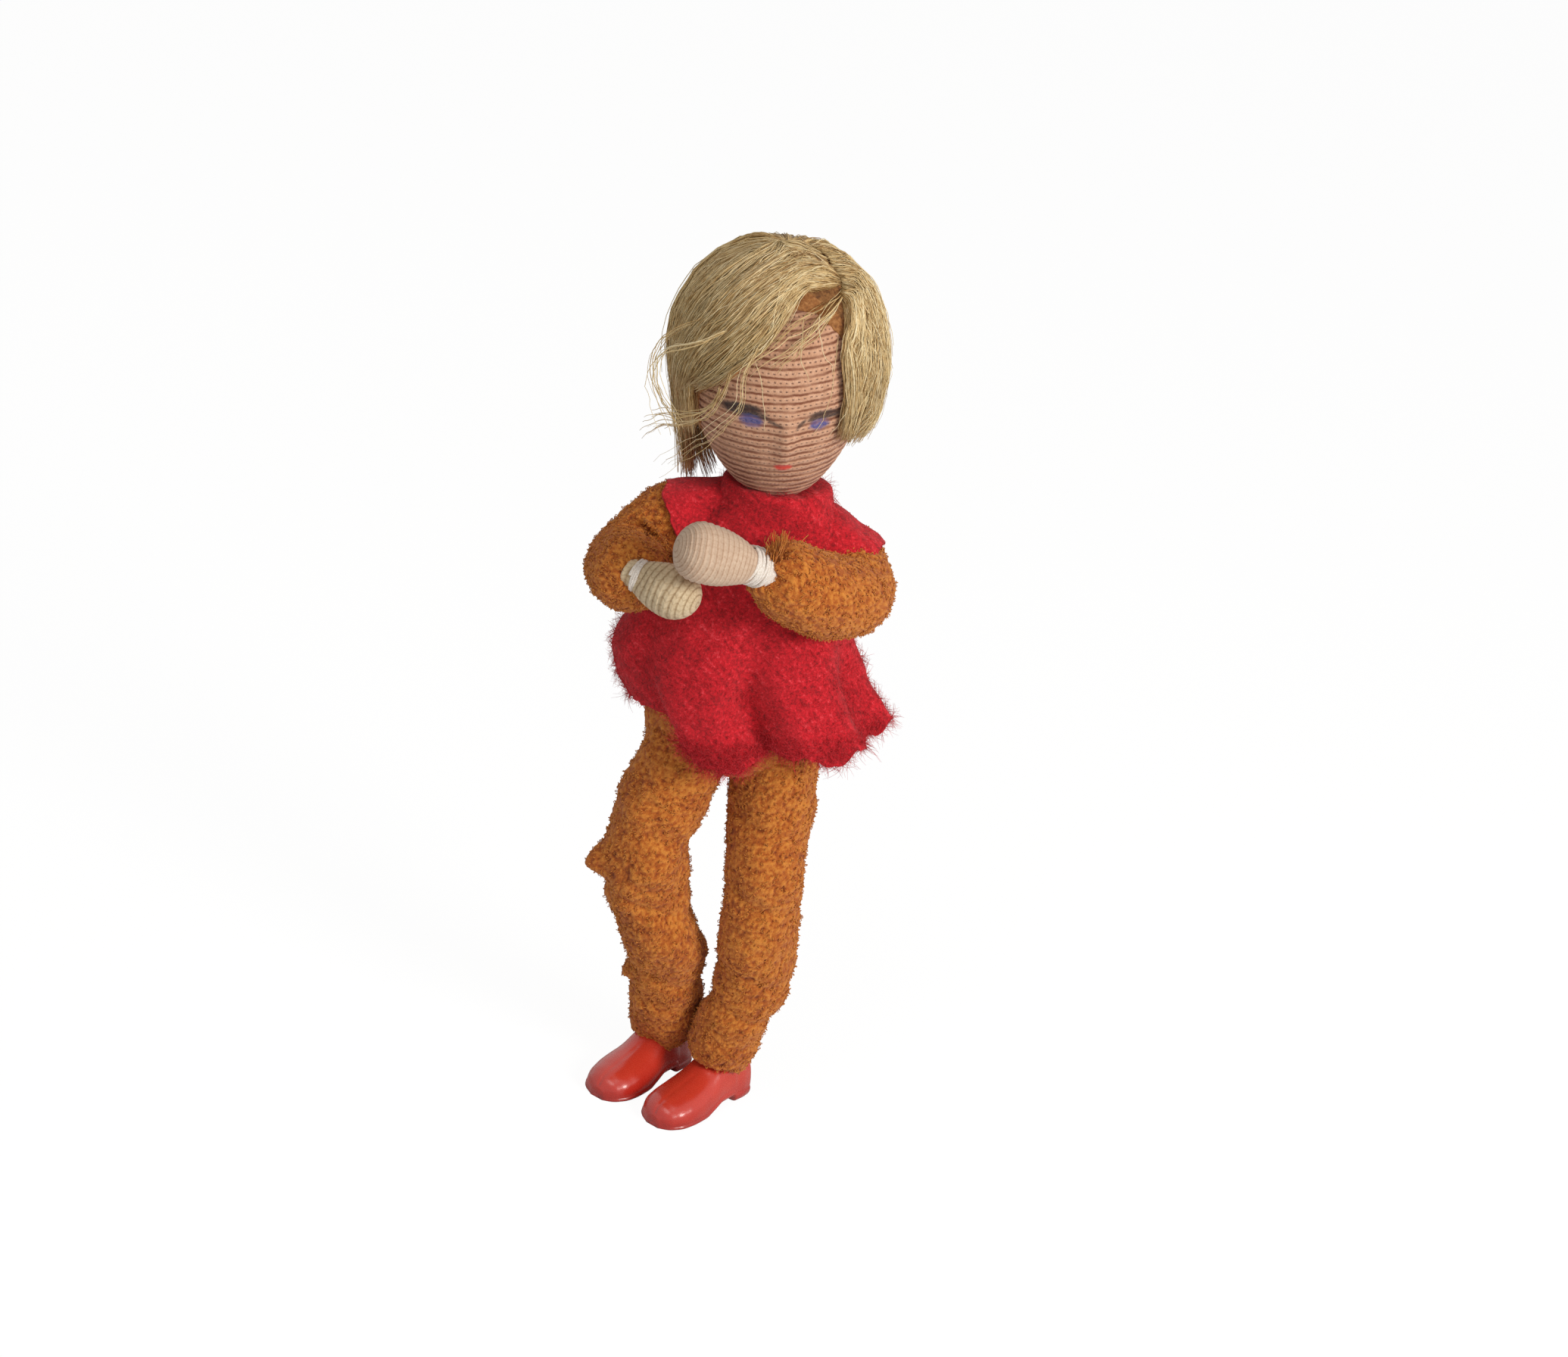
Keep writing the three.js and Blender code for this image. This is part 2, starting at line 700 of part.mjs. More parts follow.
function dressRing(place, extra) {
  const [, shift, width, depth, fold] = dressRow(place);
  const points = [];
  for (let j = 0; j < dressSides; j++) {
    const angle = -(2 * Math.PI * j) / dressSides;
    const degrees = THREE.MathUtils.radToDeg(angle);
    const swell = 1 + fold * bumps(foldShares, degrees);
    const x = (swell * width * dressWidth) / 2 + extra;
    const y = (swell * depth * dressDepth) / 2 + extra;
    const lift = hemLift * fold * place * place * bumps(liftShares, degrees);
    points.push(vec(waistShift + shift * dressWidth + x * Math.cos(angle), y * Math.sin(angle),
      collarHeight - place * dressLength + lift));
  }
  return points;
}

function dressSolid() {
  const outer = [];
  const inner = [];
  for (let i = 0; i <= dressRings; i++) {
    outer.push(dressRing(i / dressRings, 0));
    inner.push(dressRing(i / dressRings, -feltWall));
  }
  let body = wall(outer, inner);
  for (const side of ['right', 'left']) {
    body = body.subtract(sleeveSolid(side, clearance));
  }
  return body;
}

// Trunk: pelvis and chest wadding that meet in a round seat at the waist
const chestShares = [
  [0, 0.87, 0.83], [0.24, 0.94, 0.92], [0.5, 1, 1], [0.72, 0.88, 0.86], [0.88, 0.68, 0.68],
  [0.97, 0.42, 0.48],
];

function chestSolid(extra) {
  const top = collarHeight - chestTopDrop - waistHeight + extra;
  const rings = [];
  const ring = (height, halfWidth, halfDepth) => {
    const points = [];
    for (let j = 0; j < trunkSides; j++) {
      const angle = (2 * Math.PI * j) / trunkSides;
      points.push(vec(waist.x + halfWidth * Math.cos(angle), halfDepth * Math.sin(angle),
        waist.z + height));
    }
    return points;
  };
  const lowWidth = (chestShares[0][1] * chestWidth) / 2 + extra;
  const lowRadius = waistBallRadius + extra;
  for (let i = 1; i < capSteps; i++) {
    const angle = (Math.PI / 2) * (i / capSteps);
    rings.push(ring(-lowRadius * Math.cos(angle), lowWidth * Math.sin(angle),
      lowRadius * Math.sin(angle)));
  }
  for (const [height, width, depth] of chestShares) {
    rings.push(ring(height * top, (width * chestWidth) / 2 + extra,
      (depth * chestDepth) / 2 + extra));
  }
  return loft(rings, vec(waist.x, 0, waist.z - lowRadius), vec(waist.x, 0, waist.z + top));
}

// The room under the pelvis, on one side, in which a thigh swings and splays
function thighRoom(side) {
  const { hip, sign } = bends[side];
  const radius = trouserTopRadius + paddingInside + clearance;
  const block = new THREE.BoxGeometry(overrun, overrun, overrun);
  block.translate(hip.x + sign * (overrun / 2 - radius), 0, hip.z + radius - overrun / 2);
  return toSolid(block);
}

// Seat of the trousers: height above the crotch, width and depth
const seatShares = [
  [0, 0.2, 0.3], [0.08, 0.7, 0.62], [0.2, 0.92, 0.82], [0.36, 1, 0.95], [0.6, 1, 1],
  [1, 0.94, 1],
];

const flipped = (ring) => [ring[0], ...ring.slice(1).reverse()];

function trunkParts() {
  const seatHeight = (hipHeight + waistHeight) / 2;
  const pelvisCentre = hipCentre.clone().setZ(seatHeight);
  const half = [pelvisWidth / 2, pelvisDepth / 2, pelvisTall / 2];
  const pelvisTop = vec(0, 0, waistHeight - waistFree);
  let chest = chestSolid(0);
  const pelvisFoot = vec(0, 0, hipHeight + seatFree);
  let pelvis = ellipsoid(pelvisCentre, ...half)
    .subtract(beyond(pelvisTop, zAxis))
    .subtract(beyond(pelvisFoot, zAxis.clone().negate()))
    .subtract(chestSolid(clearance));
  const seatRings = (extra) => seatShares.map(([height, width, depth]) => {
    const ring = [];
    for (let j = 0; j < trunkSides; j++) {
      const angle = (2 * Math.PI * j) / trunkSides;
      ring.push(vec(
        hipShift + (width * seatWidth / 2 + extra) * Math.cos(angle),
        (depth * seatDepth / 2 + extra) * Math.sin(angle),
        crotchHeight + height * (pelvisTop.z - crotchHeight) - (height ? 0 : extra),
      ));
    }
    return ring;
  }).reverse();
  const seatFloor = vec(hipShift, 0, crotchHeight);
  const seatLining = vec(hipShift, 0, crotchHeight + terryWall);
  let seat = wall(seatRings(0).map(flipped), seatRings(terryInside).map(flipped),
    seatFloor, seatLining);
  for (const side of ['right', 'left']) {
    const { hip, knee } = bends[side];
    chest = chest.subtract(sleeveSolid(side, clearance));
    pelvis = pelvis.subtract(thighRoom(side));
    seat = seat.subtract(limb([hip, knee], legRadii.slice(0, 2), clearance));
  }
  const spine = [waist, shoulderCentre, stretch(shoulderCentre, neck, 0, wireStop)[1]];
  const shoulderFree = sleeveRadius + clearance + wireRadius;
  const bar = stretch(bends.right.shoulder, bends.left.shoulder, shoulderFree, shoulderFree);
  const collarTop = neck.clone().addScaledVector(zAxis, neckDepth);
  chest = chest.subtract(wireRod([waist, shoulderCentre, collarTop], boreRadius))
    .subtract(wireRod([bends.right.shoulder, bends.left.shoulder], boreRadius));
  pelvis = pelvis.subtract(wireRod([hipCentre, waist], boreRadius))
    .subtract(wireRod([bends.right.hip, bends.left.hip], boreRadius));
  addPiece('pelvis_padding', pelvis, 'wadding');
  addPiece('trousers_seat', seat, 'terry');
  addPiece('hip_wire', hipBarSolid(wireRadius), 'wire');
  addPiece('chest_padding', chest, 'wadding');
  addPiece('shoulder_wire', wireRod(spine).add(wireRod(bar)), 'wire');
  addPiece('dress', dressSolid(), 'felt');
}

// Head: in its own frame the neck bend is the origin and the face looks along -Y
const headFrame = new THREE.Matrix4().compose(
  neck,
  new THREE.Quaternion().setFromEuler(new THREE.Euler(
    THREE.MathUtils.degToRad(headNod),
    THREE.MathUtils.degToRad(headRoll),
    THREE.MathUtils.degToRad(headYaw), 'ZYX')),
  vec(1, 1, 1),
);

// A point of the egg-shaped head, by its angle from the crown and its angle round the neck
function headPoint(fall, round, extra) {
  const egg = Math.sin(fall) * (1 + eggShare * Math.cos(fall));
  const high = (fall - noseFallAngle) / noseSpreadAngle;
  const wide = (round + Math.PI / 2) / noseSpreadAngle;
  const nose = noseRise * Math.exp(-(high ** 2) - (2 * wide) ** 2);
  return vec(
    (headWidth / 2 + extra) * egg * Math.cos(round),
    (headDepth / 2 + extra) * egg * Math.sin(round) - nose,
    headRise + (headHeight / 2 + extra) * Math.cos(fall),
  );
}

// Rings of the head from the rim round the neck up to the crown
function headSkin(extra, rim) {
  const rings = [];
  for (let i = 0; i < headRings; i++) {
    const fall = rim * (1 - i / headRings);
    const points = [];
    for (let j = 0; j < headSides; j++) {
      points.push(headPoint(fall, (2 * Math.PI * j) / headSides, extra));
    }
    rings.push(points);
  }
  return rings;
}

// How far down from the crown the hair reaches, by the place round the head, both as shares of a
// half turn
const hairFallShares = [
  [-1, 0.689], [-0.889, 0.667], [-0.789, 0.578], [-0.694, 0.45], [-0.6, 0.344], [-0.511, 0.25],
  [-0.444, 0.217], [-0.367, 0.272], [-0.289, 0.428], [-0.211, 0.567], [-0.111, 0.628],
  [0, 0.633], [0.25, 0.656], [0.5, 0.689], [0.75, 0.711], [1, 0.689],
];

const hangAngle = THREE.MathUtils.degToRad(hairHangAngle);

function hairEdge(share) {
  const next = hairFallShares.findIndex((row) => row[0] >= share);
  const [a, b] = [hairFallShares[Math.max(next - 1, 0)], hairFallShares[next]];
  const mix = a === b ? 0 : (share - a[0]) / (b[0] - a[0]);
  return Math.PI * (a[1] + (b[1] - a[1]) * mix);
}

// A cap over the head that ends at the hairline, its outside swelling to the given thickness
function capSolid(inset, thickness, relief, edgeShare, sides, rows) {
  const outer = [];
  const inner = [];
  for (let i = rows; i >= 1; i--) {
    const out = [];
    const under = [];
    for (let j = 0; j < sides; j++) {
      const turnShare = (2 * j) / sides - 1;
      const round = Math.PI * turnShare;
      const fall = (hairEdge(turnShare) * edgeShare * i) / rows;
      const taper = edgeThinShare + (1 - edgeThinShare) * Math.sqrt(1 - (i / rows) ** 4);
      const lock = relief * Math.cos((round * sides) / 4) * (i / rows);
      const hang = headPoint(Math.min(fall, hangAngle), round, inset + thickness * taper + lock);
      const close = headPoint(fall, round, inset + thickness * taper + lock);
      out.push(close.clone().lerp(hang.setZ(close.z), relief > 0 ? hairHangShare : 0));
      under.push(headPoint(fall, round, inset));
    }
    outer.push(out);
    inner.push(under);
  }
  return wall(outer, inner, headPoint(0, 0, inset + thickness), headPoint(0, 0, inset));
}

// The hair is parted above the doll's left eye and falls in three masses
const hairPartShares = [
  ['hair_fringe', -1, -0.433],
  ['hair_left', -0.433, -0.044],
  ['hair_back', -0.044, 1],
];

function sector(firstShare, lastShare) {
  const shape = new THREE.Shape();
  const middle = (Math.PI * (firstShare + lastShare)) / 2;
  const half = (Math.PI * (lastShare - firstShare)) / 2;
  const inset = clearance / 2 / Math.sin(half);
  shape.moveTo(inset * Math.cos(middle), inset * Math.sin(middle));
  const steps = 6;
  for (let i = 0; i <= steps; i++) {
    const angle = middle - half + (2 * half * i) / steps;
    shape.lineTo(inset * Math.cos(middle) + overrun * Math.cos(angle),
      inset * Math.sin(middle) + overrun * Math.sin(angle));
  }
  const prism = new THREE.ExtrudeGeometry(shape, { depth: 2 * overrun, bevelEnabled: false });
  return toSolid(prism.translate(0, 0, -overrun / 2));
}

function headParts() {
  const place = (solid) => solid.transform(headFrame.elements);
  const rim = Math.PI - THREE.MathUtils.degToRad(neckHoleAngle);
  const inside = -knitWall;
  const stuffed = inside - clearance;
  const cover = wall(headSkin(0, rim), headSkin(inside, rim),
    headPoint(0, 0, 0), headPoint(0, 0, inside));
  const skull = headSkin(stuffed, rim);
  const floor = skull[0][0].clone().multiply(zAxis);
  const neckRoom = limb([floor, vec(0, 0, neckDepth)], [neckRadius, neckRadius], neckSlack);
  const padding = loft(skull, floor, headPoint(0, 0, stuffed))
    .subtract(neckRoom)
    .subtract(wireRod([floor, vec(0, 0, headRise)], boreRadius));
  const scalp = capSolid(scalpInset, scalpWall, 0, scalpShare, hairSides, scalpRows);
  const hair = capSolid(scalpInset + scalpWall + clearance, hairThickness, lockRelief, 1, hairSides,
    hairRows);
  addPiece('head_padding', place(padding), 'wadding');
  addPiece('face_cover', place(cover), 'face');
  addPiece('scalp_cap', place(scalp), 'scalp');
  for (const [name, first, last] of hairPartShares) {
    addPiece(name, place(hair.intersect(sector(first, last))), 'hair');
  }
  const headWire = wireRod([vec(0, 0, wireStop), vec(0, 0, headRise - clearance - wireRadius)]);
  addPiece('head_wire', place(headWire), 'wire');
  addPiece('neck_wire_bend', ball(neck, bendRadius, wireSides), 'wire');
  const collar = vec(neck.x, neck.y, collarHeight - neckDepth);
  const nape = neck.clone().addScaledVector(zAxis, neckDepth);
  const neckPath = [collar, neck, nape];
  const neckRadii = neckPath.map(() => neckRadius);
  const tube = wall(pathRings(neckPath, neckRadii, 0, limbSides),
    pathRings(neckPath, neckRadii, -knitWall, limbSides))
    .subtract(chestSolid(clearance));
  addPiece('neck_cover', tube, 'face');
}

trunkParts();
headParts();
for (const side of ['right', 'left']) {
  armParts(side);
  handParts(side);
  legParts(side);
}

// The origin is under the middle of the whole doll
const middle = new THREE.Box3().setFromObject(doll).getCenter(vec(0, 0, 0));
for (const piece of doll.children) {
  piece.geometry.translate(-middle.x, -middle.y, 0);
}
doll.userData = { bends, neck, waist, headFrame, middle };

export default doll;
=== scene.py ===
import json
import math
from itertools import product

import bpy
import numpy as np
from mathutils import Matrix


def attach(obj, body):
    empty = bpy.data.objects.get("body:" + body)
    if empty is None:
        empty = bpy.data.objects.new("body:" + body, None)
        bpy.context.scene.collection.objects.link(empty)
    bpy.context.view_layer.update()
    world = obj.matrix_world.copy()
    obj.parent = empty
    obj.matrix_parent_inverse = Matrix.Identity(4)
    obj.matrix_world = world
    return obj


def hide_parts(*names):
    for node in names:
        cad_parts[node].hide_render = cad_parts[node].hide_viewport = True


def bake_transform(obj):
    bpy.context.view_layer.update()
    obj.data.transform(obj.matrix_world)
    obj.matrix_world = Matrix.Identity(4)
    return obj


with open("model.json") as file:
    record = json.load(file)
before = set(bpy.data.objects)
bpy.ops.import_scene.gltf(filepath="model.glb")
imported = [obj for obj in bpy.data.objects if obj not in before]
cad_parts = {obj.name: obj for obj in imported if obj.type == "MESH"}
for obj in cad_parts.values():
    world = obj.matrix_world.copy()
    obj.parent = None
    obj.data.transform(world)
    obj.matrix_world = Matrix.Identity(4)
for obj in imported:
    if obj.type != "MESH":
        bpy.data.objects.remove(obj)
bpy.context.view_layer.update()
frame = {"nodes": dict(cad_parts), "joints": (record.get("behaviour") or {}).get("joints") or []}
FINE = 1.0
RANDOM = np.random.default_rng(20)
LAMP_AIM = (0, 0, 0.06)

# Places and sizes in millimetres, as the CAD part has them
SIDES = {"right": -1, "left": 1}
CHEST_X, HIPS_X = 0.4, 0.6
HIP_HEIGHT, WAIST_HEIGHT, SHOULDER_HEIGHT = 47.0, 59.5, 70.7
NECK_HEIGHT, COLLAR_HEIGHT = 79.0, 78.8
WAIST = np.array([CHEST_X, 0.0, WAIST_HEIGHT])
NECK = np.array([1.2, 0.3, NECK_HEIGHT])
ARM, LEG = 21.0, 40.0
SHOULDER_HALF, SHOULDER_SLANT, HIP_HALF = 9.85, 0.95, 4.95
SLEEVE, FELT = 4.6, 0.9
LEG_RADII = (4.8, 4.6, 4.3, 3.8)
HEM_DROP = 1.4
HAND_NECK, NECK_RADIUS = 1.9, 2.4
HEAD_RISE, EGG, NOSE = 12.1, 0.21, 0.5
NOSE_FALL, NOSE_SPREAD = 1.85, 0.24
HEEL, HEEL_BACK = 0.9, 4.2
# The length of each hand and the radius of its palm
HAND = {"right": (7.6, 2.9), "left": (9.6, 3.3)}
# Width, depth and height, and for the shoe length, width and height
HEAD_SIZE, DRESS, SHOE = (19.8, 20.6, 28.4), (29.0, 20.0, 29.6), (15.6, 6.8, 6.4)
# Each place of a limb as a share of the limb's length from its shoulder or hip
SHARES = {
    "right": dict(elbow=(-0.229, -0.119, -0.186), wrist=(-0.138, -0.49, -0.11),
                  hand=(0.92, -0.34, -0.18), knee=(-0.085, -0.07, -0.41),
                  calf=(0.006, -0.012, -0.72), ankle=(0.022, 0.105, -1),
                  toe=(-0.57, -0.82, 0)),
    "left": dict(elbow=(0.081, -0.248, -0.105), wrist=(-0.481, -0.615, 0.172),
                 hand=(-0.89, -0.37, 0.27), knee=(0.015, -0.075, -0.45),
                 calf=(0.022, -0.055, -0.7), ankle=(-0.04, -0.015, -1),
                 toe=(-0.6, -0.8, 0)),
}
SHOULDER = {side: np.array([CHEST_X + sign * SHOULDER_HALF, 0, SHOULDER_HEIGHT - sign * SHOULDER_SLANT])
            for side, sign in SIDES.items()}
HIP = {side: np.array([HIPS_X + sign * HIP_HALF, 0, HIP_HEIGHT]) for side, sign in SIDES.items()}
WAIST_JOINT = next(joint for joint in frame["joints"] if joint["name"] == "waist_bend")
SHIFT = np.array(WAIST_JOINT["pos_m"]) * 1000 - WAIST


def meshed(count):
    return int(count / FINE)


def unit(v):
    v = np.asarray(v, float)
    return v / np.maximum(np.linalg.norm(v, axis=-1, keepdims=True), 1e-12)


# Node trees
def add_node(tree, kind, inputs=(), output=0, **settings):
    """Adds a node, fills or links its inputs, and gives one of its outputs."""
    node = tree.nodes.new("ShaderNode" + kind)
    for key, setting in settings.items():
        setattr(node, key, setting)
    for key, item in dict(inputs).items():
        if isinstance(item, Value):
            tree.links.new(item.socket, node.inputs[key])
        else:
            node.inputs[key].default_value = item
    return Value(tree, node.outputs[output])


def math_node(kind):
    return lambda self, *others: add_node(self.tree, "Math", enumerate((self, *others)), operation=kind)


class Value:
    """A socket of a node tree that can be reckoned with."""

    def __init__(self, tree, socket):
        self.tree, self.socket = tree, socket

    __add__, __sub__, __mul__ = map(math_node, ("ADD", "SUBTRACT", "MULTIPLY"))
    min, max = map(math_node, ("MINIMUM", "MAXIMUM"))
    fract, abs, sin = map(math_node, ("FRACT", "ABSOLUTE", "SINE"))

    def step(self, low, high):
        """0 below low, 1 above high, smooth between; reversed where low is above high."""
        flip = low > high
        inputs = {"Value": self, "From Min": min(low, high), "From Max": max(low, high),
                  "To Min": float(flip), "To Max": float(not flip)}
        return add_node(self.tree, "MapRange", inputs, "Result", interpolation_type="SMOOTHSTEP")


def rgb(r, g, b):
    linear = [c / 255 / 12.92 if c <= 10 else ((c / 255 + 0.055) / 1.055) ** 2.4 for c in (r, g, b)]
    return (*linear, 1.0)


# Where a mix node has its factor, its two colours and its result
MIX_FACTOR, MIX_A, MIX_B, MIX_RESULT = 0, 6, 7, 2


class Shade:
    """A procedural material around one Principled shader."""

    def __init__(self, name, roughness=0.9, **sockets):
        self.material = bpy.data.materials.new(name)
        self.material.use_nodes = True
        self.tree = self.material.node_tree
        self.bsdf = self.tree.nodes["Principled BSDF"]
        for key, value in dict(roughness=roughness, **sockets).items():
            title = key.replace("_", " ").title().replace("Ior", "IOR")
            self.bsdf.inputs[title].default_value = value

    def add(self, kind, inputs=(), output=0, **settings):
        return add_node(self.tree, kind, inputs, output, **settings)

    def attribute(self, name, output="Fac"):
        return self.add("Attribute", output=output, attribute_name=name)

    def split(self, vector):
        return [self.add("SeparateXYZ", {0: vector}, i) for i in range(3)]

    def noise(self, scale, detail=3, vector=None):
        vector = vector or self.attribute("rest", "Vector")
        return self.add("TexNoise", {"Scale": scale, "Detail": detail, "Roughness": 0.6, "Vector": vector})

    def ramp(self, value, *stops):
        """A colour ramp by value, from places and colours."""
        node = self.tree.nodes.new("ShaderNodeValToRGB")
        elements = node.color_ramp.elements
        while len(elements) < len(stops):
            elements.new(0.5)
        for element, (place, colour) in zip(elements, stops):
            element.position, element.color = place, rgb(*colour)
        self.tree.links.new(value.socket, node.inputs[0])
        return Value(self.tree, node.outputs[0])

    def mix(self, share, a, b):
        """The colour a with a share of the colour b over it."""
        inputs = {MIX_FACTOR: share, MIX_A: a, MIX_B: rgb(*b)}
        return self.add("Mix", inputs, MIX_RESULT, data_type="RGBA")

    def base(self, colour):
        self.tree.links.new(colour.socket, self.bsdf.inputs["Base Color"])

    def rough(self, value):
        self.tree.links.new(value.socket, self.bsdf.inputs["Roughness"])

    def bump(self, height, strength, distance):
        inputs = {"Strength": strength, "Distance": distance / 1000, "Height": height}
        self.tree.links.new(self.add("Bump", inputs).socket, self.bsdf.inputs["Normal"])


# Camera, lights and floor
def add_object(name, data):
    thing = bpy.data.objects.new(name, data)
    bpy.context.scene.collection.objects.link(thing)
    return thing


def place_camera():
    """The photograph's view: fitted angles, distance and lens, and the pixel that the target falls on."""
    elevation, roll, distance, lens, film = math.radians(24), math.radians(8), 420.0, 84.69, 36
    target, pixel, photo = np.array([0, 0, 54.0]), (975, 897), (2071, 1792)
    back = np.array([0, -math.cos(elevation), math.sin(elevation)])
    right = np.array([1.0, 0, 0])
    up = np.cross(back, right)
    across = math.cos(roll) * right + math.sin(roll) * up
    upward = -math.sin(roll) * right + math.cos(roll) * up
    focal = lens / film * photo[0]
    u = (pixel[0] - photo[0] / 2) / focal
    v = -(pixel[1] - photo[1] / 2) / focal
    place = target + distance * back - distance * (u * across + v * upward) + SHIFT
    data = bpy.data.cameras.new("camera")
    data.lens, data.sensor_width = lens, film
    data.clip_start, data.clip_end = 0.01, 20
    camera = add_object("camera", data)
    turn = Matrix([across, upward, back]).transposed().to_4x4()
    camera.matrix_world = Matrix.Translation(place / 1000) @ turn
    bpy.context.scene.camera = camera


def area_light(name, place, size, power, colour):
    """A round lamp that shines on the doll's middle."""
    data = bpy.data.lights.new(name, "AREA")
    data.shape, data.size, data.energy, data.color = "DISK", size, power, colour
    lamp = add_object(name, data)
    lamp.location = place
    z = unit(np.array(place) - LAMP_AIM)
    x = unit(np.cross((0, 0, 1), z))
    lamp.rotation_euler = Matrix([x, np.cross(z, x), z]).transposed().to_euler()


def studio():
    """White for the camera and in reflections, and a dim warm light from all sides."""
    world = bpy.data.worlds.new("studio")
    bpy.context.scene.world = world
    world.use_nodes = True
    tree = world.node_tree
    tree.nodes.clear()
    seen = add_node(tree, "LightPath", output="Is Camera Ray")
    for kind in ("Is Glossy Ray", "Is Transmission Ray"):
        seen = seen.max(add_node(tree, "LightPath", output=kind))
    dim = add_node(tree, "Background", {0: (1.0, 0.98, 0.95, 1), 1: 0.3})
    bright = add_node(tree, "Background", {0: (1, 1, 1, 1), 1: 1.0})
    light = add_node(tree, "MixShader", {0: seen, 1: dim, 2: bright})
    tree.links.new(light.socket, tree.nodes.new("ShaderNodeOutputWorld").inputs[0])


def floor():
    """Pale paper that glows a little for the camera."""
    size = 3.0
    mesh = bpy.data.meshes.new("floor")
    corners = [(-size, -size, 0), (size, -size, 0), (size, size, 0), (-size, size, 0)]
    mesh.from_pydata(corners, [], [(0, 1, 2, 3)])
    shade = Shade("paper", 0.9, base_color=(0.9, 0.9, 0.9, 1), specular_ior_level=0.1)
    glow = shade.add("Emission", {0: (1, 1, 1, 1), 1: 1.05})
    share = shade.add("LightPath", output="Is Camera Ray") * 0.9
    paper = Value(shade.tree, shade.bsdf.outputs[0])
    surface = shade.add("MixShader", {0: share, 1: paper, 2: glow})
    shade.tree.links.new(surface.socket, shade.tree.nodes["Material Output"].inputs[0])
    mesh.materials.append(shade.material)
    add_object("floor", mesh)


# Noise
def lattice(cell, seed):
    """An even random value from 0 to 1 for each whole cell."""
    x, y, z = (cell[..., i].astype(np.int64).astype(np.uint32) for i in range(3))
    h = x * np.uint32(374761393) + y * np.uint32(668265263) + z * np.uint32(2246822519)
    h = h + np.uint32((seed * 3266489917) & 0xFFFFFFFF)
    h = (h ^ (h >> np.uint32(15))) * np.uint32(2246822519)
    h = (h ^ (h >> np.uint32(13))) * np.uint32(3266489917)
    return (h ^ (h >> np.uint32(16))) / 4294967296.0


def wobble(points, size, seed=0):
    """Smooth noise from -1 to 1 whose lumps are about size across."""
    p = np.asarray(points) / size
    low = np.floor(p)
    f = p - low
    f = f * f * (3 - 2 * f)
    total = np.zeros(p.shape[:-1])
    for corner in product((0, 1), repeat=3):
        weight = np.prod([f[..., i] if c else 1 - f[..., i] for i, c in enumerate(corner)], axis=0)
        total += weight * lattice(low + np.array(corner), seed)
    return 2 * total - 1


def pebbles(points, size, seed=0):
    """The distance to the nearest of scattered points, as a share of size."""
    p = np.asarray(points) / size
    low = np.floor(p)
    best = np.full(p.shape[:-1], 9.0)
    for corner in product((-1, 0, 1), repeat=3):
        c = low + np.array(corner)
        spot = c + np.stack([lattice(c, seed + i) for i in (1, 2, 3)], -1)
        best = np.minimum(best, ((spot - p) ** 2).sum(-1))
    return np.sqrt(best)


# Meshes
class Part:
    """Points, faces and point values of a piece that is being put together."""

    def __init__(self, points, quads, tris=None, **values):
        self.points = np.asarray(points, float)
        self.quads = np.asarray(quads, int)
        self.tris = np.zeros((0, 3), int) if tris is None else np.asarray(tris, int)
        self.flat = np.zeros(len(self.quads), bool)
        self.values = values

    def triangles(self):
        q = self.quads
        return np.concatenate([self.tris, q[:, [0, 1, 2]], q[:, [0, 2, 3]]])

    def face_normals(self):
        """The triangles' normals, each twice as long as its triangle's area."""
        t, p = self.triangles(), self.points
        return np.cross(p[t[:, 1]] - p[t[:, 0]], p[t[:, 2]] - p[t[:, 0]])

    def push(self, amount):
        """Moves each point out along its normal."""
        t, n = self.triangles(), self.face_normals()
        out = np.zeros_like(self.points)
        for i, k in product(range(3), repeat=2):
            out[:, k] += np.bincount(t[:, i], n[:, k], len(out))
        self.points = self.points + unit(out) * np.asarray(amount)[:, None]


def joined(parts):
    """Several parts in one. They have the same point values."""
    starts = np.cumsum([0] + [len(part.points) for part in parts])
    out = Part(np.concatenate([part.points for part in parts]),
               np.concatenate([part.quads + start for part, start in zip(parts, starts)]),
               np.concatenate([part.tris + start for part, start in zip(parts, starts)]),
               **{key: np.concatenate([part.values[key] for part in parts]) for key in parts[0].values})
    out.flat = np.concatenate([part.flat for part in parts])
    return out


def piece(name, part, shade):
    """Makes the Blender object of a part, in metres in the frame's own place."""
    mesh = bpy.data.meshes.new(name)
    sizes = np.concatenate([np.full(len(part.quads), 4), np.full(len(part.tris), 3)])
    corners = np.concatenate([part.quads.ravel(), part.tris.ravel()])
    mesh.vertices.add(len(part.points))
    mesh.vertices.foreach_set("co", ((part.points + SHIFT) / 1000).astype(np.float32).ravel())
    mesh.loops.add(len(corners))
    mesh.loops.foreach_set("vertex_index", corners.astype(np.int32))
    mesh.polygons.add(len(sizes))
    starts = np.concatenate([[0], np.cumsum(sizes)[:-1]])
    mesh.polygons.foreach_set("loop_start", starts.astype(np.int32))
    smooth = np.concatenate([~part.flat, np.ones(len(part.tris), bool)])
    mesh.polygons.foreach_set("use_smooth", smooth)
    mesh.update(calc_edges=True)
    mesh.validate()
    part.values.setdefault("rest", part.points)
    for key, value in part.values.items():
        value = np.asarray(value, np.float32)
        kind, field = ("FLOAT", "value") if value.ndim == 1 else ("FLOAT_VECTOR", "vector")
        mesh.attributes.new(key, kind, "POINT").data.foreach_set(field, value.ravel())
    mesh.materials.append(shade.material)
    return add_object(name, mesh)


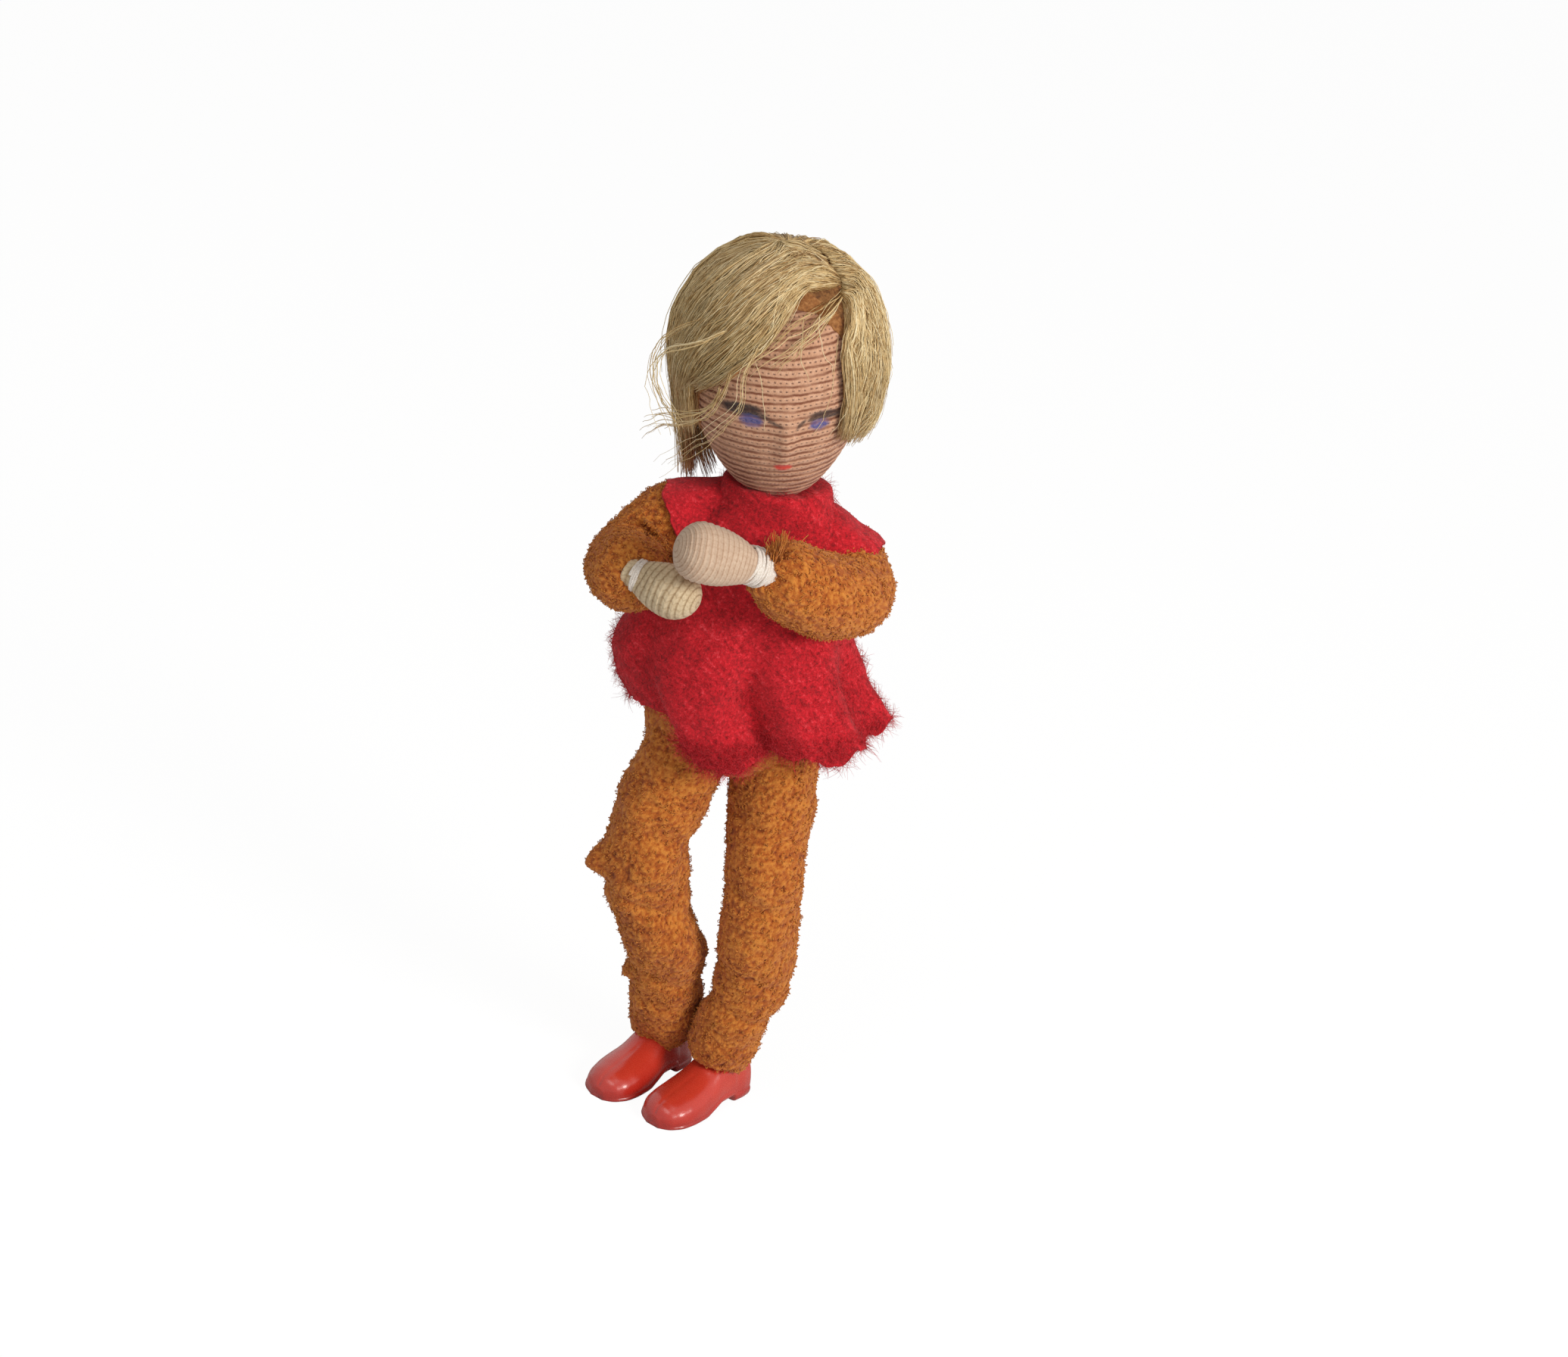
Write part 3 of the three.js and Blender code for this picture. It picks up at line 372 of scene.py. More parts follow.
def put(name, part, shade, nodes, ride=None):
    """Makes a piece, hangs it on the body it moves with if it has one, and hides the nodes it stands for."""
    thing = piece(name, part, shade)
    if ride:
        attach(thing, ride)
    else:
        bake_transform(thing)
    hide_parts(*nodes)
    return thing


def skin(rings, first=None, last=None):
    """A skin over rings that run anticlockwise about the way from the first to the last."""
    n, m = rings.shape[:2]
    i = (np.arange(n - 1) * m)[:, None]
    j = np.arange(m)[None]
    k = (j + 1) % m
    quads = np.stack([i + j, i + k, i + k + m, i + j + m], -1).reshape(-1, 4)
    points, tris = [rings.reshape(-1, 3)], []
    j, k = j[0], k[0]
    if first is not None:
        tris.append(np.stack([np.full(m, n * m), k, j], -1))
        points.append([first])
    if last is not None:
        tip = n * m + (first is not None)
        tris.append(np.stack([np.full(m, tip), (n - 1) * m + j, (n - 1) * m + k], -1))
        points.append([last])
    return Part(np.concatenate(points), quads, np.concatenate(tris) if tris else None)


def two_faced(outer, inner, closed=False, crisp=False):
    """A cloth between two grids of points, closed along its edges."""
    n, m = outer.shape[:2]
    index = np.arange(n * m).reshape(n, m)
    if closed:
        index = np.concatenate([index, index[:, :1]], 1)
    front = np.stack([index[:-1, :-1], index[1:, :-1], index[1:, 1:], index[:-1, 1:]], -1).reshape(-1, 4)
    rim = [(index[0, :-1], index[0, 1:]), (index[-1, 1:], index[-1, :-1])]
    if not closed:
        rim += [(index[1:, 0], index[:-1, 0]), (index[:-1, -1], index[1:, -1])]
    a, b = np.concatenate([np.stack(pair, -1) for pair in rim]).T
    edge = np.stack([a, b, b + n * m, a + n * m], -1)
    points = np.concatenate([outer.reshape(-1, 3), inner.reshape(-1, 3)])
    part = Part(points, np.concatenate([front, (front + n * m)[:, ::-1], edge]))
    part.flat[-len(edge):] = crisp
    return part


def table_at(table, x):
    """Smooth curves through the rows of a table, at x of its first column."""
    table = np.asarray(table, float)
    knots, rows = table[:, 0], table[:, 1:]
    slope = np.gradient(rows, knots, axis=0)
    x = np.clip(x, knots[0], knots[-1])
    i = np.clip(np.searchsorted(knots, x, side="right") - 1, 0, len(knots) - 2)
    h = knots[i + 1] - knots[i]
    t = ((x - knots[i]) / h)[..., None]
    h = h[..., None]
    return ((2 * t**3 - 3 * t**2 + 1) * rows[i] + (t**3 - 2 * t**2 + t) * h * slope[i]
            + (-2 * t**3 + 3 * t**2) * rows[i + 1] + (t**3 - t**2) * h * slope[i + 1])


def smoothed(rows, count):
    """That many rows on smooth curves through evenly spaced rows."""
    return table_at(np.column_stack([np.linspace(0, 1, len(rows)), rows]), np.linspace(0, 1, count))


def curve(points, spacing):
    """A smooth line through the points, with about that spacing, and its shares of the length."""
    points = np.asarray(points, float)
    lengths = np.concatenate([[0], np.cumsum(np.linalg.norm(np.diff(points, axis=0), axis=1))])
    count = max(int(lengths[-1] / spacing), 3)
    at = np.linspace(0, lengths[-1], count + 1)
    return table_at(np.column_stack([lengths, points]), at), at / lengths[-1]


def circle_angles(around):
    return 2 * np.pi * np.arange(around) / around


def circle(angle, radius):
    return np.stack([radius * np.cos(angle), radius * np.sin(angle), 0 * angle], -1)


def rings_along(path, radii, around, spoke=(1, 0, 0)):
    """Rings square to a path, whose first points start off towards the spoke and don't twist."""
    ways = unit(np.gradient(path, axis=0))
    side = np.asarray(spoke, float)
    angles = circle_angles(around)
    rings = []
    for point, way, radius in zip(path, ways, radii):
        side = unit(side - way * side.dot(way))
        other = np.cross(way, side)
        rings.append(point + radius * (np.cos(angles)[:, None] * side + np.sin(angles)[:, None] * other))
    return np.array(rings)


def round_start(path, radii, spacing):
    """Adds a half ball's stations before the first point of a path."""
    way = unit(path[1] - path[0])
    steps = max(int(radii[0] * np.pi / 2 / spacing), 4)
    angle = np.linspace(0.06, np.pi / 2, steps, endpoint=False)
    caps = path[0] - radii[0] * np.cos(angle)[:, None] * way
    return np.concatenate([caps, path]), np.concatenate([radii[0] * np.sin(angle), radii])


def turned_in(edge, centre, radius, way, turn):
    """Rings that carry an open end's edge back inside, by their ways along and changes of radius."""
    return np.array([centre + (edge - centre) * ((radius + r) / radius) + way * f for f, r in turn])


def tubes(paths, radii, sides=3, **values):
    """Thin tubes along many paths of the same number of points. Three-sided ones are closed."""
    paths = np.asarray(paths, float)
    count, n = paths.shape[:2]
    radii = np.broadcast_to(radii, (count, n))
    ways = unit(np.gradient(paths, axis=1))
    turn = unit(np.cross(ways.mean(1), RANDOM.normal(size=(count, 3))))[:, None]
    side = unit(turn - ways * (ways * turn).sum(-1, keepdims=True))
    other = np.cross(ways, side)
    points = np.empty((count, n, sides, 3))
    for k in range(sides):
        angle = 2 * np.pi * k / sides
        points[:, :, k] = paths + radii[..., None] * (math.cos(angle) * side + math.sin(angle) * other)
    base = (np.arange(count) * n * sides)[:, None, None]
    i = base + (np.arange(n - 1) * sides)[None, :, None]
    k = np.arange(sides)[None, None]
    after = (k + 1) % sides
    quads = np.stack([i + k, i + after, i + after + sides, i + k + sides], -1)
    tris = None
    if sides == 3:
        start = base[:, 0]
        tris = np.concatenate([start + np.array([0, 2, 1]), start + (n - 1) * 3 + np.array([0, 1, 2])])
    spread = {}
    for key, value in values.items():
        value = np.asarray(value, float)
        value = value[:, None] if value.ndim == 1 else value
        spread[key] = np.broadcast_to(value[..., None], (count, n, sides)).reshape(-1)
    return Part(points.reshape(-1, 3), quads.reshape(-1, 4), tris, **spread)


def scatter(part, count, keep=None):
    """Random places on a part's skin, with their normals and ways along and across it."""
    t, p, n = part.triangles(), part.points, part.face_normals()
    size = np.linalg.norm(n, axis=1)
    if keep is not None:
        size = size * keep(p[t].mean(1))
    pick = RANDOM.choice(len(t), count, p=size / size.sum())
    a, b = RANDOM.random((2, count, 1))
    flip = a + b > 1
    a, b = np.where(flip, 1 - a, a), np.where(flip, 1 - b, b)
    corner = p[t[pick]]
    spots = corner[:, 0] + a * (corner[:, 1] - corner[:, 0]) + b * (corner[:, 2] - corner[:, 0])
    out = unit(n[pick])
    way = unit(np.cross(out, RANDOM.normal(size=(count, 3))))
    side = np.cross(out, way)
    return (item[:, None] for item in (spots, out, way, side))


def fuzz(part, count, length, radius, lie=0.8, keep=None, lift=0.3):
    """Short fibres that leave a skin and lie over it."""
    spots, out, way, side = scatter(part, count, keep)
    t = np.linspace(0, 1, 5)[None, :, None]
    long = length * RANDOM.uniform(0.4, 1.3, (count, 1, 1))
    bend = RANDOM.normal(0, 0.6, (count, 1, 1))
    rise = long * (lift * t + (1 - lie) * t * (1 - 0.6 * t))
    paths = spots + out * (rise - 0.08) + way * long * lie * t + side * long * bend * t * t * 0.6
    thin = radius * (1 - 0.7 * t[..., 0])
    return tubes(paths, thin, tone=RANDOM.uniform(0.5, 1, count), tint=RANDOM.random(count))


def loops(part, count, size, radius):
    """Small loops of yarn that stand on a skin."""
    spots, out, way, side = scatter(part, count)
    angle = np.linspace(-0.2, np.pi + 0.2, 6)[None, :, None]
    wide = size * RANDOM.uniform(0.5, 1.1, (count, 1, 1))
    high = size * RANDOM.uniform(0.6, 1.5, (count, 1, 1))
    lean = RANDOM.normal(0, 0.4, (count, 1, 1))
    paths = (spots + way * wide * np.cos(angle) * 0.6 + out * (high * np.sin(angle) - 0.05)
             + side * high * lean * np.sin(angle))
    # tone is lowest at each loop's feet, so the terry's colour paints shade where the loops meet the skin
    return tubes(paths, radius, tone=0.55 + 0.45 * np.sin(angle[..., 0]) * np.ones((count, 1)),
                 tint=RANDOM.random(count))


def tuft(root, count, long):
    """Pulled threads that stand up where the cuff is frayed."""
    t = np.linspace(0, 1, 7)[None, :, None]
    way = np.array([0.05, -0.25, 1.0]) + RANDOM.normal(0, 0.16, (count, 1, 3))
    start = root + RANDOM.normal(0, 0.45, (count, 1, 3)) * np.array([1.0, 0.6, 0.5])
    size = long * RANDOM.uniform(0.3, 1.05, (count, 1, 1))
    curl = np.stack([wobble(start + 5 * t * k, 0.8, 70 + k) for k in (1, 2, 3)], -1)
    paths = start + way * size * (t - 0.1) + 0.22 * curl * t
    return tubes(paths, 0.07 * (1 - 0.4 * t[..., 0]), tone=RANDOM.uniform(0.6, 1, count),
                 tint=RANDOM.random(count))


# Terry, and the spacing of its mesh
MESH = 0.19


def terry_relief(part, seed, depth=0.32):
    """Presses looped pile into a skin, and keeps how high each point stands, which paints shade into the
    hollows.
    """
    p = part.points
    coarse, fine = pebbles(p, 0.62, seed), pebbles(p, 0.36, seed + 7)
    height = 1 - np.clip(0.75 * coarse + 0.75 * fine, 0, 1.4) / 1.1
    height = height + 0.25 * wobble(p, 0.25, seed + 3)
    part.push(depth * height)
    # tone is the pile's height: the terry's colour is painted darker in the hollows between the loops,
    # painted shade
    part.values["tone"] = np.clip(0.5 + 0.55 * height, 0, 1)
    part.values["tint"] = 0.5 + 0.5 * wobble(p, 1.2, seed + 5)


def terry_material():
    shade = Shade("terry", 0.95, sheen_weight=0.08, sheen_roughness=0.6)
    tone, tint = shade.attribute("tone"), shade.attribute("tint")
    patch, grain = shade.noise(0.22, 3), shade.noise(5.0, 4)
    # painted shade: the lower the pile (tone), the darker the colour; grain, tint and patches are the yarn's
    # own colour
    value = tone * 1.5 + grain * 0.7 + tint * 0.2 + patch * 0.35 - 0.92
    shade.base(shade.ramp(value, (0.04, (78, 28, 2)), (0.32, (138, 62, 8)), (0.58, (176, 90, 17)),
                          (0.95, (212, 132, 48))))
    shade.bump(grain, 0.7, 0.2)
    return shade


# How the cuff and the hem turn in and run back inside: ways along and changes of radius
CUFF_TURN = [(0.12, -0.2), (0.08, -0.5), (-0.15, -0.9), (-0.4, -1.4), (-0.6, -1.9)]
HEM_TURN = [(0.15, -0.25), (0.12, -0.6), (-0.2, -0.85), (-1.0, -0.9), (-3.0, -0.9)]
# The sleeves' ways past the wrist, how ragged their cuffs are and their seeds
SLEEVE_END = {"right": (0.4, 0.25, 11), "left": (-1.7, 0.6, 29)}
ELBOW_ROUND = 2.8


def arm_places(side):
    shoulder = SHOULDER[side]
    return shoulder, *(shoulder + ARM * np.array(SHARES[side][key]) for key in ("elbow", "wrist"))


def sleeve(side):
    """A padded sleeve with a round bend at the elbow and a frayed cuff."""
    past, frayed, seed = SLEEVE_END[side]
    shoulder, corner, wrist = arm_places(side)
    a = corner + unit(shoulder - corner) * ELBOW_ROUND
    b = corner + unit(wrist - corner) * ELBOW_ROUND
    t = np.linspace(0, 1, 5)[1:-1, None]
    bow = (1 - t) ** 2 * a + 2 * t * (1 - t) * (0.5 * corner + 0.25 * (a + b)) + t * t * b
    way = unit(wrist - b)
    path, _ = curve(np.concatenate([[shoulder, a], bow, [b, wrist + way * past]]), MESH * FINE)
    end = np.linalg.norm(path - path[-1], axis=1)
    radii = np.interp(end, [0, 0.5, 1.5, 3.0, 5.5], [2.5, 3.1, 3.9, 4.4, SLEEVE])
    path, radii = round_start(path, radii, MESH * FINE)
    around = meshed(190)
    rings = rings_along(path, radii, around, (0, 0, 1))
    inner = turned_in(rings[-1], path[-1], radii[-1], way, CUFF_TURN)
    # where the two sides of the bend would run into each other they meet in a plane
    across = unit(b - a)
    middle = corner + 0.6 * ((a + b) / 2 - corner)
    before = ((path - middle) @ across < 0)[:, None]
    over = (rings - middle) @ across
    over = np.where(before, np.maximum(over + 0.06, 0), np.minimum(over - 0.06, 0))
    rings = rings - over[..., None] * across
    # the raw edge of the cuff is uneven
    uneven = frayed * wobble(circle(circle_angles(around), 3), 1.4, 4)[:, None] * way
    rings[-4:] += uneven * np.array([0.2, 0.5, 0.8, 1])[:, None, None]
    inner = inner + uneven
    cover = skin(np.concatenate([rings, inner]), first=rings[0].mean(0), last=inner[-1].mean(0))
    # soft folds across the inside of the elbow, and the cloth's slack
    p = cover.points
    along = (p - corner) @ across
    crease = np.exp(-((along / 1.0) ** 2)) + 0.6 * np.exp(-(((along - 2.6) / 0.8) ** 2))
    inside = np.clip(((p - corner) @ unit((a + b) / 2 - corner)) / 4, 0, 1)
    cover.push(-0.3 * crease * inside + 0.38 * wobble(p, 4.2, seed) + 0.16 * wobble(p, 1.7, seed + 1))
    terry_relief(cover, seed)
    parts = [cover, loops(cover, meshed(2600), 0.24, 0.05)]
    if side == "left":
        parts.append(tuft(wrist - way * 2.9 + np.array([0, -1.5, 2.1]), 110, 3.6))
    return joined(parts)


# Flaps by their place from the knee, how far they stand off and how tall they are
TROUSER_FLAPS = {"right": [(-4.4, -0.6, -0.4, 2.3, 2.2), (-2.2, 2.6, -15.6, 1.1, 1.4)], "left": []}
# Folds by their height, depth and width, a ridge where the depth is below 0
TROUSER_FOLDS = {
    "right": [(36, 0.25, 1.2), (31.5, -0.35, 1.8), (26.5, 0.45, 1.0), (21, -0.35, 2.0), (16.5, 0.5, 1.0),
              (12.5, 0.25, 0.8)],
    "left": [(38, 0.2, 1.2), (29, 0.25, 1.0), (18.5, 0.3, 1.0), (13, 0.35, 0.9)],
}


def leg_places(side):
    hip = HIP[side]
    return hip, *(hip + LEG * np.array(SHARES[side][key]) for key in ("knee", "calf", "ankle"))


def trouser(side):
    """A padded trouser leg with folds, flaps and an open, ragged hem."""
    hip, knee, calf, ankle = leg_places(side)
    hem = ankle + (ankle - calf) * HEM_DROP / (calf[2] - ankle[2])
    path, at = curve([hip, knee, calf, hem], MESH * FINE)
    radii = np.interp(at, [0, 0.4, 0.72, 1], LEG_RADII)
    path, radii = round_start(path, radii, 0.3 * FINE)
    around = meshed(175)
    rings = rings_along(path, radii, around, (0, 1, 0))
    way = unit(path[-1] - path[-3])
    seed = 41 if side == "right" else 57
    ring = circle(circle_angles(around), 3)
    drop = (0.75 * wobble(ring, 1.5, seed) + 0.35 * wobble(ring, 0.5, seed))[:, None] * way
    rings[-8:] += drop * np.linspace(0.12, 1, 8)[:, None, None]
    inner = turned_in(rings[-1], path[-1], radii[-1], way, HEM_TURN)
    cover = skin(np.concatenate([rings, inner]), first=rings[0].mean(0))
    p = cover.points
    lumps = 0.5 * wobble(p, 5.5, seed) + 0.28 * wobble(p, 2.4, seed + 1) + 0.12 * wobble(p, 1.1, seed + 2)
    fold = np.zeros(len(p))
    for height, depth, wide in TROUSER_FOLDS[side]:
        tilt = p[:, 2] - height + 0.25 * (p[:, 0] - knee[0]) + 0.5 * wobble(p, 3, seed + 9)
        fold -= depth * np.exp(-((tilt / wide) ** 2))
    for x, y, z, high, tall in TROUSER_FLAPS[side]:
        off = p - (knee + (x, y, z))
        below = np.where(off[:, 2] < 0, 2.2, 1.0)
        out = high * np.exp(-((off[:, 1] / 1.1) ** 2) - (below * off[:, 2] / tall) ** 2)
        fold += np.where(off[:, 0] < 2.5, out, 0)
    cover.push(lumps + fold)
    terry_relief(cover, seed)
    return joined([cover, loops(cover, meshed(3300), 0.26, 0.05)])


# The seat's width and depth as shares of its half sizes, by height
SEAT_ROWS = [(0, 0.2, 0.3), (0.08, 0.7, 0.62), (0.2, 0.92, 0.82), (0.36, 1, 0.95), (0.6, 1, 1), (1, 0.94, 1)]
SEAT_HALF = (10.5, 6.5)


def seat():
    low, high = HIP_HEIGHT - 4.0, WAIST_HEIGHT - 3.0
    at = np.linspace(0, 1, meshed(60))[:, None]
    wide, deep = np.moveaxis(table_at(SEAT_ROWS, at), -1, 0)
    angle = circle_angles(meshed(230))
    rings = np.stack([HIPS_X + wide * SEAT_HALF[0] * np.cos(angle), deep * SEAT_HALF[1] * np.sin(angle),
                      low + at * (high - low) + 0 * angle], -1)
    part = skin(rings, first=(HIPS_X, 0, low), last=(HIPS_X, 0, high))
    part.push(0.3 * wobble(part.points, 4, 71))
    terry_relief(part, 73)
    return part


# Tunic: its shift, width, depth and share of the folds, by the place from the collar to the hem
DRESS_ROWS = [
    (0, 0.033, 0.41, 0.6, 0), (0.076, 0.03, 0.465, 0.57, 0), (0.154, 0.024, 0.6, 0.6, 0),
    (0.277, 0.014, 0.655, 0.69, 0), (0.416, 0.003, 0.7, 0.75, 0.05), (0.591, -0.028, 0.855, 0.84, 0.35),
    (0.764, -0.031, 0.966, 0.93, 0.75), (0.903, 0.02, 1.0, 1.0, 1), (1, 0.083, 1.0, 1.02, 1),
]
# Folds and lifts of the hem by their angle, width in degrees and share
FOLDS = [(-80, 10, -0.3), (-112, 16, 0.06), (-138, 12, -0.12), (-48, 17, 0.08), (-20, 12, -0.1),
         (5, 14, 0.06), (60, 16, -0.12), (95, 14, 0.06), (130, 14, -0.12), (168, 14, 0.05),
         (-97, 9, 0.05), (-64, 9, 0.05), (-32, 8, 0.03)]
LIFTS = [(-150, 24, 0.5), (-100, 20, -0.55), (0, 40, 0.6), (180, 40, 0.3)]
PLEAT_ANGLE, SEAM_ANGLE = -80, 100
TURN_PLACE, TURN_RADIUS, NECK_PLACE, WAIST_PLACE = 0.027, 0.8, -0.1, 0.72


def bumps(table, degrees):
    """The sum of a table's rounded bumps at an angle."""
    total = 0
    for angle, width, share in table:
        apart = (degrees - angle + 180) % 360 - 180
        total = total + share * np.exp(-((apart / width) ** 2))
    return total


def dress_points(place, degrees, extra):
    """Points of the tunic by their place from the collar to the hem and their angle."""
    shift, width, depth, fold = np.moveaxis(table_at(DRESS_ROWS, np.maximum(place, TURN_PLACE)), -1, 0)
    fold = np.clip(fold, 0, None)
    swell = 1 + fold * bumps(FOLDS, degrees)
    a = np.radians(degrees)
    # above the shoulders the cloth turns in over a round edge and lies to the neck
    up = np.maximum(TURN_PLACE - place, 0) * DRESS[2]
    bend = np.minimum(up / TURN_RADIUS, np.pi / 2)
    flat = np.maximum(up - TURN_RADIUS * np.pi / 2, 0)
    inward = TURN_RADIUS * (1 - np.cos(bend)) + flat
    rise = TURN_RADIUS * np.sin(bend) + 0.12 * np.sin(9 * a) * np.minimum(flat, 1) - 0.1 * flat
    x = swell * width * DRESS[0] / 2 + extra * np.cos(bend) - inward
    y = swell * depth * DRESS[1] / 2 + extra * np.cos(bend) - inward
    low = np.maximum(place, 0)
    ring = circle(a, 6)
    lift = 3.0 * fold * low**2 * bumps(LIFTS, degrees)
    lift = lift + 1.0 * low**8 * wobble(ring, 1.3, 83) + 0.55 * low**8 * wobble(ring, 0.4, 84)
    down = np.maximum(place, TURN_PLACE) * DRESS[2]
    return np.stack([
        CHEST_X + shift * DRESS[0] + x * np.cos(a), y * np.sin(a),
        COLLAR_HEIGHT - down + rise + extra * np.sin(bend) + lift], -1)


def graded(first, last, count, step):
    """Even places from first to last, closer together beside both ends."""
    inner = np.linspace(first, last, count + 1)
    near = np.array([0.01, 0.05, 0.16]) * step
    return np.concatenate([[first], first + near, inner[1:-1], last - near[::-1], [last]])


def wool_tone(part):
    part.values["tone"] = np.clip(0.5 + 0.5 * wobble(part.points, 0.5, 94), 0, 1)


def cloth_patch(low, high, first, last, closed=False):
    """A part of the tunic between two places and two angles, as a cloth with both faces."""
    spacing = 0.3 * FINE
    rows = max(int((high - low) * DRESS[2] / spacing), 4)
    columns = round(abs(last - first) / 360 * 18 * round(82 / spacing / 18))
    place = graded(low, high, rows, 1 / DRESS[2])[:, None]
    if closed:
        degrees = np.linspace(first, last, columns + 1)[:-1]
    else:
        degrees = graded(first, last, columns, 4.0)
    place, degrees = np.broadcast_arrays(place, degrees[None])
    outer, inner = (dress_points(place, degrees, extra) for extra in (0.0, -FELT))
    part = two_faced(outer, inner, closed, crisp=True)
    down = dress_points(np.minimum(place + 0.002, 1.0), degrees, 0) - dress_points(place - 0.002, degrees, 0)
    along = dress_points(place, degrees + 1.0, 0) - dress_points(place, degrees - 1.0, 0)
    relief = 0.26 * wobble(outer, 3.4, 91) + 0.12 * wobble(outer, 1.5, 96) + 0.05 * wobble(outer, 0.6, 92)
    slack = unit(np.cross(down, along)) * relief[..., None]
    part.points = part.points + np.tile(slack.reshape(-1, 3), (2, 1))
    wool_tone(part)
    return part


# The armholes: how far their edge turns round the shoulder in degrees, and their radius
ARMHOLE = {"left": (12, SLEEVE + 0.5), "right": (-8, SLEEVE + 0.55)}


def armhole(side):
    """The tunic's cloth from beside the neck over a shoulder, to the edge the sleeve comes out of."""
    centre = SHOULDER[side]
    near = np.array([CHEST_X + SIDES[side] * 3.4, 0.2, 74.9])
    reach, radius = ARMHOLE[side]
    axis = unit(near - centre)
    long = np.linalg.norm(near - centre)
    side_way = unit(np.cross(axis, (0, 1, 0)))
    other = np.cross(axis, side_way)
    turn = circle_angles(meshed(150))
    ring = circle(turn, 3)
    edge = np.radians(reach + 5 * wobble(ring, 1.5, 61) + 2 * wobble(ring, 0.4, 62))
    # the profile: a cone from the neck to the shoulder's ball, then the ball to the edge
    lean = np.arcsin((radius - 3.3) / long)
    share = np.linspace(0, 1, meshed(30))[:, None]
    shells = []
    for r in (radius, radius - FELT * 0.7):
        cone_a = long * (1 - share) + r * np.sin(lean) + 0 * turn
        cone_r = (r - long * (1 - share) * np.tan(lean)) * np.cos(lean) + 0 * turn
        angle = -lean + (edge + lean) * share[1:]
        a = np.concatenate([cone_a, -r * np.sin(angle)])
        b = np.concatenate([cone_r, r * np.cos(angle)])
        shells.append(centre + a[..., None] * axis + (b * np.cos(turn))[..., None] * side_way
                      + (b * np.sin(turn))[..., None] * other)
    rings = np.concatenate([shells[0], shells[1][::-1]])
    part = skin(rings, first=shells[0][0].mean(0), last=shells[1][0].mean(0))
    wool_tone(part)
    part.push(0.3 * wobble(part.points, 3.0, 63) + 0.1 * wobble(part.points, 1.2, 64))
    return part


def wool_material():
    shade = Shade("wool", 0.95, sheen_weight=0.05, sheen_roughness=0.6)
    grain, fine, patch = shade.noise(3.2, 5), shade.noise(9.0, 4), shade.noise(0.15, 2)
    x, y, z = shade.split(shade.attribute("rest", "Vector"))
    slope = (x * 0.75 + y * 0.55 + z * 0.8) * 5.2 + shade.noise(0.8, 3) * 9.0
    twill = slope.sin() * shade.noise(0.6, 2).step(0.3, 0.65) * 0.6
    value = grain * 1.3 + fine * 0.55 + shade.attribute("tone") * 0.24 + patch * 0.35 + twill * 0.14 - 0.7
    shade.base(shade.ramp(value, (0.08, (88, 2, 10)), (0.4, (180, 12, 28)), (0.65, (216, 20, 38)),
                          (0.95, (240, 82, 92))))
    shade.bump(grain + fine * 0.6 + twill * 0.35, 0.6, 0.22)
    return shade


# Head
def turn_matrix(x, y, z):
    """Turns in degrees about x, then y, then z."""
    cx, sx, cy, sy, cz, sz = (f(math.radians(a)) for a in (x, y, z) for f in (math.cos, math.sin))
    rx = np.array([[1, 0, 0], [0, cx, -sx], [0, sx, cx]])
    ry = np.array([[cy, 0, sy], [0, 1, 0], [-sy, 0, cy]])
    rz = np.array([[cz, -sz, 0], [sz, cz, 0], [0, 0, 1]])
    return rz @ ry @ rx


HEAD_TURN = turn_matrix(5.5, -7, 8)
# The angles from the crown of the face's lower rim, and from which hair hangs straight down
RIM, HANG = math.pi - math.radians(24), math.radians(96)


def head_local(fall, around, extra=0.0):
    """Places on the head by their angles from the crown and round the neck, extra above its skin."""
    egg = np.sin(fall) * (1 + EGG * np.cos(fall))
    high = (fall - NOSE_FALL) / NOSE_SPREAD
    wide = ((around + np.pi / 2 + np.pi) % (2 * np.pi) - np.pi) / NOSE_SPREAD
    nose = NOSE * np.exp(-(high**2) - (2 * wide) ** 2)
    return np.stack([
        (HEAD_SIZE[0] / 2 + extra) * egg * np.cos(around),
        (HEAD_SIZE[1] / 2 + extra) * egg * np.sin(around) - nose,
        HEAD_RISE + (HEAD_SIZE[2] / 2 + extra) * np.cos(fall)], -1)


def to_world(local):
    return local @ HEAD_TURN.T + NECK


def on_head(local):
    """The angles from the crown and round the neck of places near the head, in radians."""
    up = np.clip((local[..., 2] - HEAD_RISE) / (HEAD_SIZE[2] / 2 + 1), -1, 1)
    return np.arccos(up), np.arctan2(local[..., 1], local[..., 0])


# The face's paint: place across and up from the neck's bend, half sizes, tilt and strength
FACE_PAINT = {
    "lid": [(-4.6, 12.9, 2.3, 0.85, -3, 1.0), (-3.2, 12.4, 1.6, 0.4, -14, 0.9),
            (4.5, 11.9, 1.8, 0.6, -6, 0.95), (3.2, 11.75, 0.8, 0.4, 20, 0.9),
            (-1.35, 11.65, 1.25, 0.26, -28, 0.8), (1.75, 11.3, 0.75, 0.26, 44, 0.8),
            (5.9, 11.5, 0.5, 0.4, -20, 0.6)],
    "iris": [(-3.7, 11.55, 1.25, 0.8, -6, 1.0), (3.87, 10.8, 1.1, 0.66, -4, 1.0)],
    "lip": [(-0.03, 5.38, 0.98, 0.46, 0, 1.0)],
}
PAINT_BLUR = 0.22
FACE_COLUMNS = 96


def paint(x, z, spots):
    """How much paint the spots lay on places across x and up z."""
    total = np.zeros_like(x)
    for cx, cz, rx, rz, tilt, strength in spots:
        a = math.radians(tilt)
        u = ((x - cx) * math.cos(a) + (z - cz) * math.sin(a)) / rx
        v = (-(x - cx) * math.sin(a) + (z - cz) * math.cos(a)) / rz
        far = np.sqrt(u * u + v * v)
        total = np.maximum(total, strength * np.clip((1 + PAINT_BLUR - far) / (2 * PAINT_BLUR), 0, 1))
    return total


